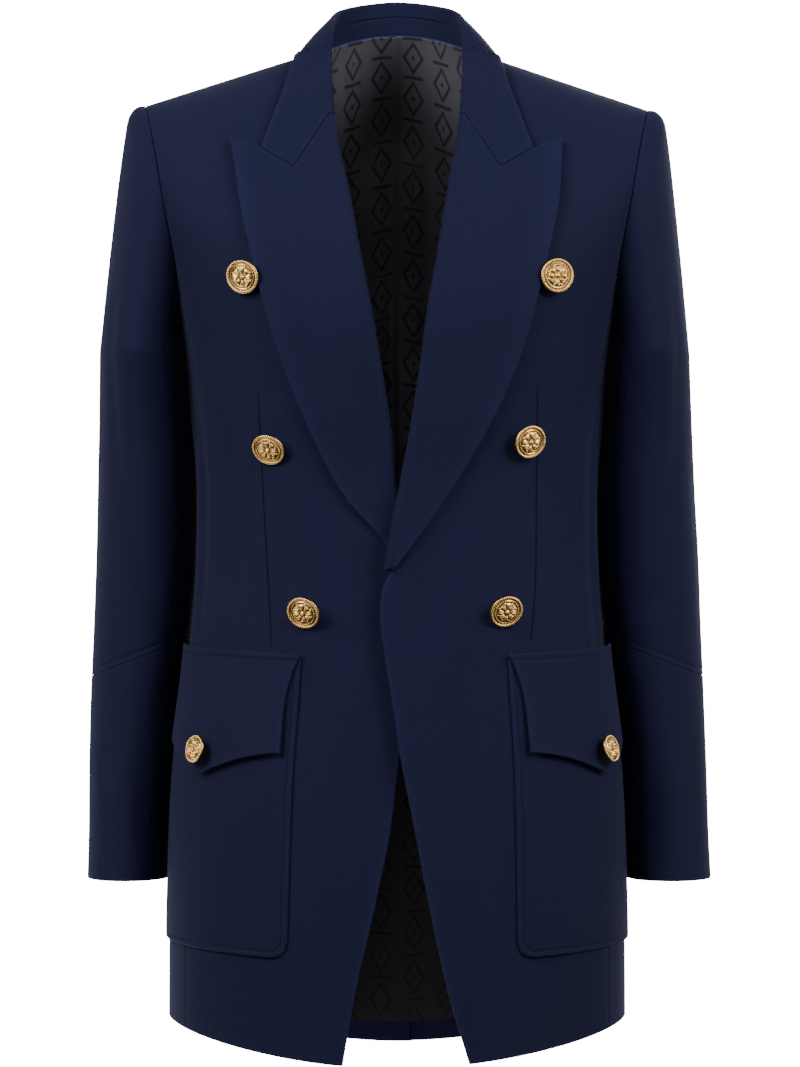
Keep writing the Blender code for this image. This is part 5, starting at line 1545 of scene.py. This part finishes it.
class BLAZER_OT_buttons(bpy.types.Operator):
    """Build the eight gilt buttons"""
    bl_idname = "blazer.buttons"
    bl_label = "Buttons"

    def execute(self, context):
        for row in BUTTONS:
            side = LEFT if row.x < 0 else RIGHT
            place = wall(row.x, row.height, FRONT, float(front_lap(row.x, row.height, side)))
            normal = wall_normal(row.x, row.height, FRONT)
            button(row.name, place, normal, BUTTON_RADIUS, row.lean, side * row.swing)
        for side in (LEFT, RIGHT):
            turn = turn_of_arc(POCKET_ARC[side] + POCKET_WIDTH / 2)
            drop = FLAP_LENGTH + FLAP_BUTTON_DROP
            lift = flap_lift(drop / (FLAP_LENGTH + FLAP_POINT), turn) + FLAP_CLOTH
            height = POCKET_TOP + FLAP_ABOVE + FLAP_TILT - drop
            place = ring(turn, height, side, lift)
            button(f"button_flap_{side_name(side)}", place, ring_normal(turn, height, side),
                   FLAP_BUTTON_RADIUS, FLAP_BUTTON_LEAN, side * FLAP_BUTTON_SWING)
        return {"FINISHED"}


class BLAZER_OT_stage(bpy.types.Operator):
    """Build the floor, backdrop, lamps and camera"""
    bl_idname = "blazer.stage"
    bl_label = "Stage"

    def execute(self, context):
        settings = context.scene.blazer_stage
        floor = bowl("backdrop", 1.0, plain_finish("pale_backdrop", tuple(settings.backdrop), settings.glow))
        floor.visible_diffuse = floor.visible_glossy = floor.visible_shadow = False
        cards = bowl("reflector", 0.8, card_finish("reflector_cards", settings.cards))
        cards.visible_diffuse = cards.visible_camera = cards.visible_shadow = False
        world = bpy.data.worlds.new("soft_room")
        world.use_nodes = True
        world.node_tree.nodes["Background"].inputs["Color"].default_value = (1, 1, 1, 1)
        world.node_tree.nodes["Background"].inputs["Strength"].default_value = settings.room
        context.scene.world = world
        for row in LAMPS:
            lamp = bpy.data.lights.new(row.name, "AREA")
            lamp.shape, lamp.size = "SQUARE", row.size
            lamp.energy = row.power * settings.light
            holder = bpy.data.objects.new(row.name, lamp)
            holder.location = (row.x, row.y, row.z)
            aim = Vector((0, 0, LAMP_AIM_HEIGHT)) - holder.location
            holder.rotation_euler = aim.to_track_quat("-Z", "Y").to_euler()
            holder.visible_camera = False
            context.scene.collection.objects.link(holder)
        camera = bpy.data.cameras.new("camera")
        camera.lens, camera.sensor_width, camera.clip_end = CAMERA_LENS, CAMERA_SENSOR, CAMERA_REACH
        holder = bpy.data.objects.new("camera", camera)
        holder.location = CAMERA_PLACE
        holder.rotation_euler = (math.pi / 2, 0, 0)
        context.scene.collection.objects.link(holder)
        context.scene.camera = holder
        return {"FINISHED"}


class BLAZER_PT_sidebar(bpy.types.Panel):
    """Sizes, colours and building steps of the blazer"""
    bl_idname = "BLAZER_PT_sidebar"
    bl_label = "Blazer"
    bl_space_type = "VIEW_3D"
    bl_region_type = "UI"
    bl_category = "Blazer"

    def draw(self, context):
        for title, group in (("Cloth", context.scene.blazer_cloth), ("Buttons", context.scene.blazer_buttons),
                             ("Stage", context.scene.blazer_stage)):
            box = self.layout.box()
            box.label(text=title)
            for name in group.__annotations__:
                box.prop(group, name)
        for step in STEPS:
            self.layout.operator(step.bl_idname)


STEPS = (BLAZER_OT_fronts, BLAZER_OT_sides, BLAZER_OT_backs, BLAZER_OT_lapels, BLAZER_OT_collar,
         BLAZER_OT_sleeves, BLAZER_OT_pockets, BLAZER_OT_buttons, BLAZER_OT_stage)
CLASSES = (BlazerCloth, BlazerButtons, BlazerStage, *STEPS, BLAZER_PT_sidebar)


def register():
    for kind in CLASSES:
        bpy.utils.register_class(kind)
    bpy.types.Scene.blazer_cloth = PointerProperty(type=BlazerCloth)
    bpy.types.Scene.blazer_buttons = PointerProperty(type=BlazerButtons)
    bpy.types.Scene.blazer_stage = PointerProperty(type=BlazerStage)


def unregister():
    del bpy.types.Scene.blazer_cloth, bpy.types.Scene.blazer_buttons, bpy.types.Scene.blazer_stage
    for kind in reversed(CLASSES):
        bpy.utils.unregister_class(kind)


def main():
    register()
    for step in STEPS:
        group, name = step.bl_idname.split(".")
        getattr(getattr(bpy.ops, group), name)()


if __name__ == "__main__":
    main()
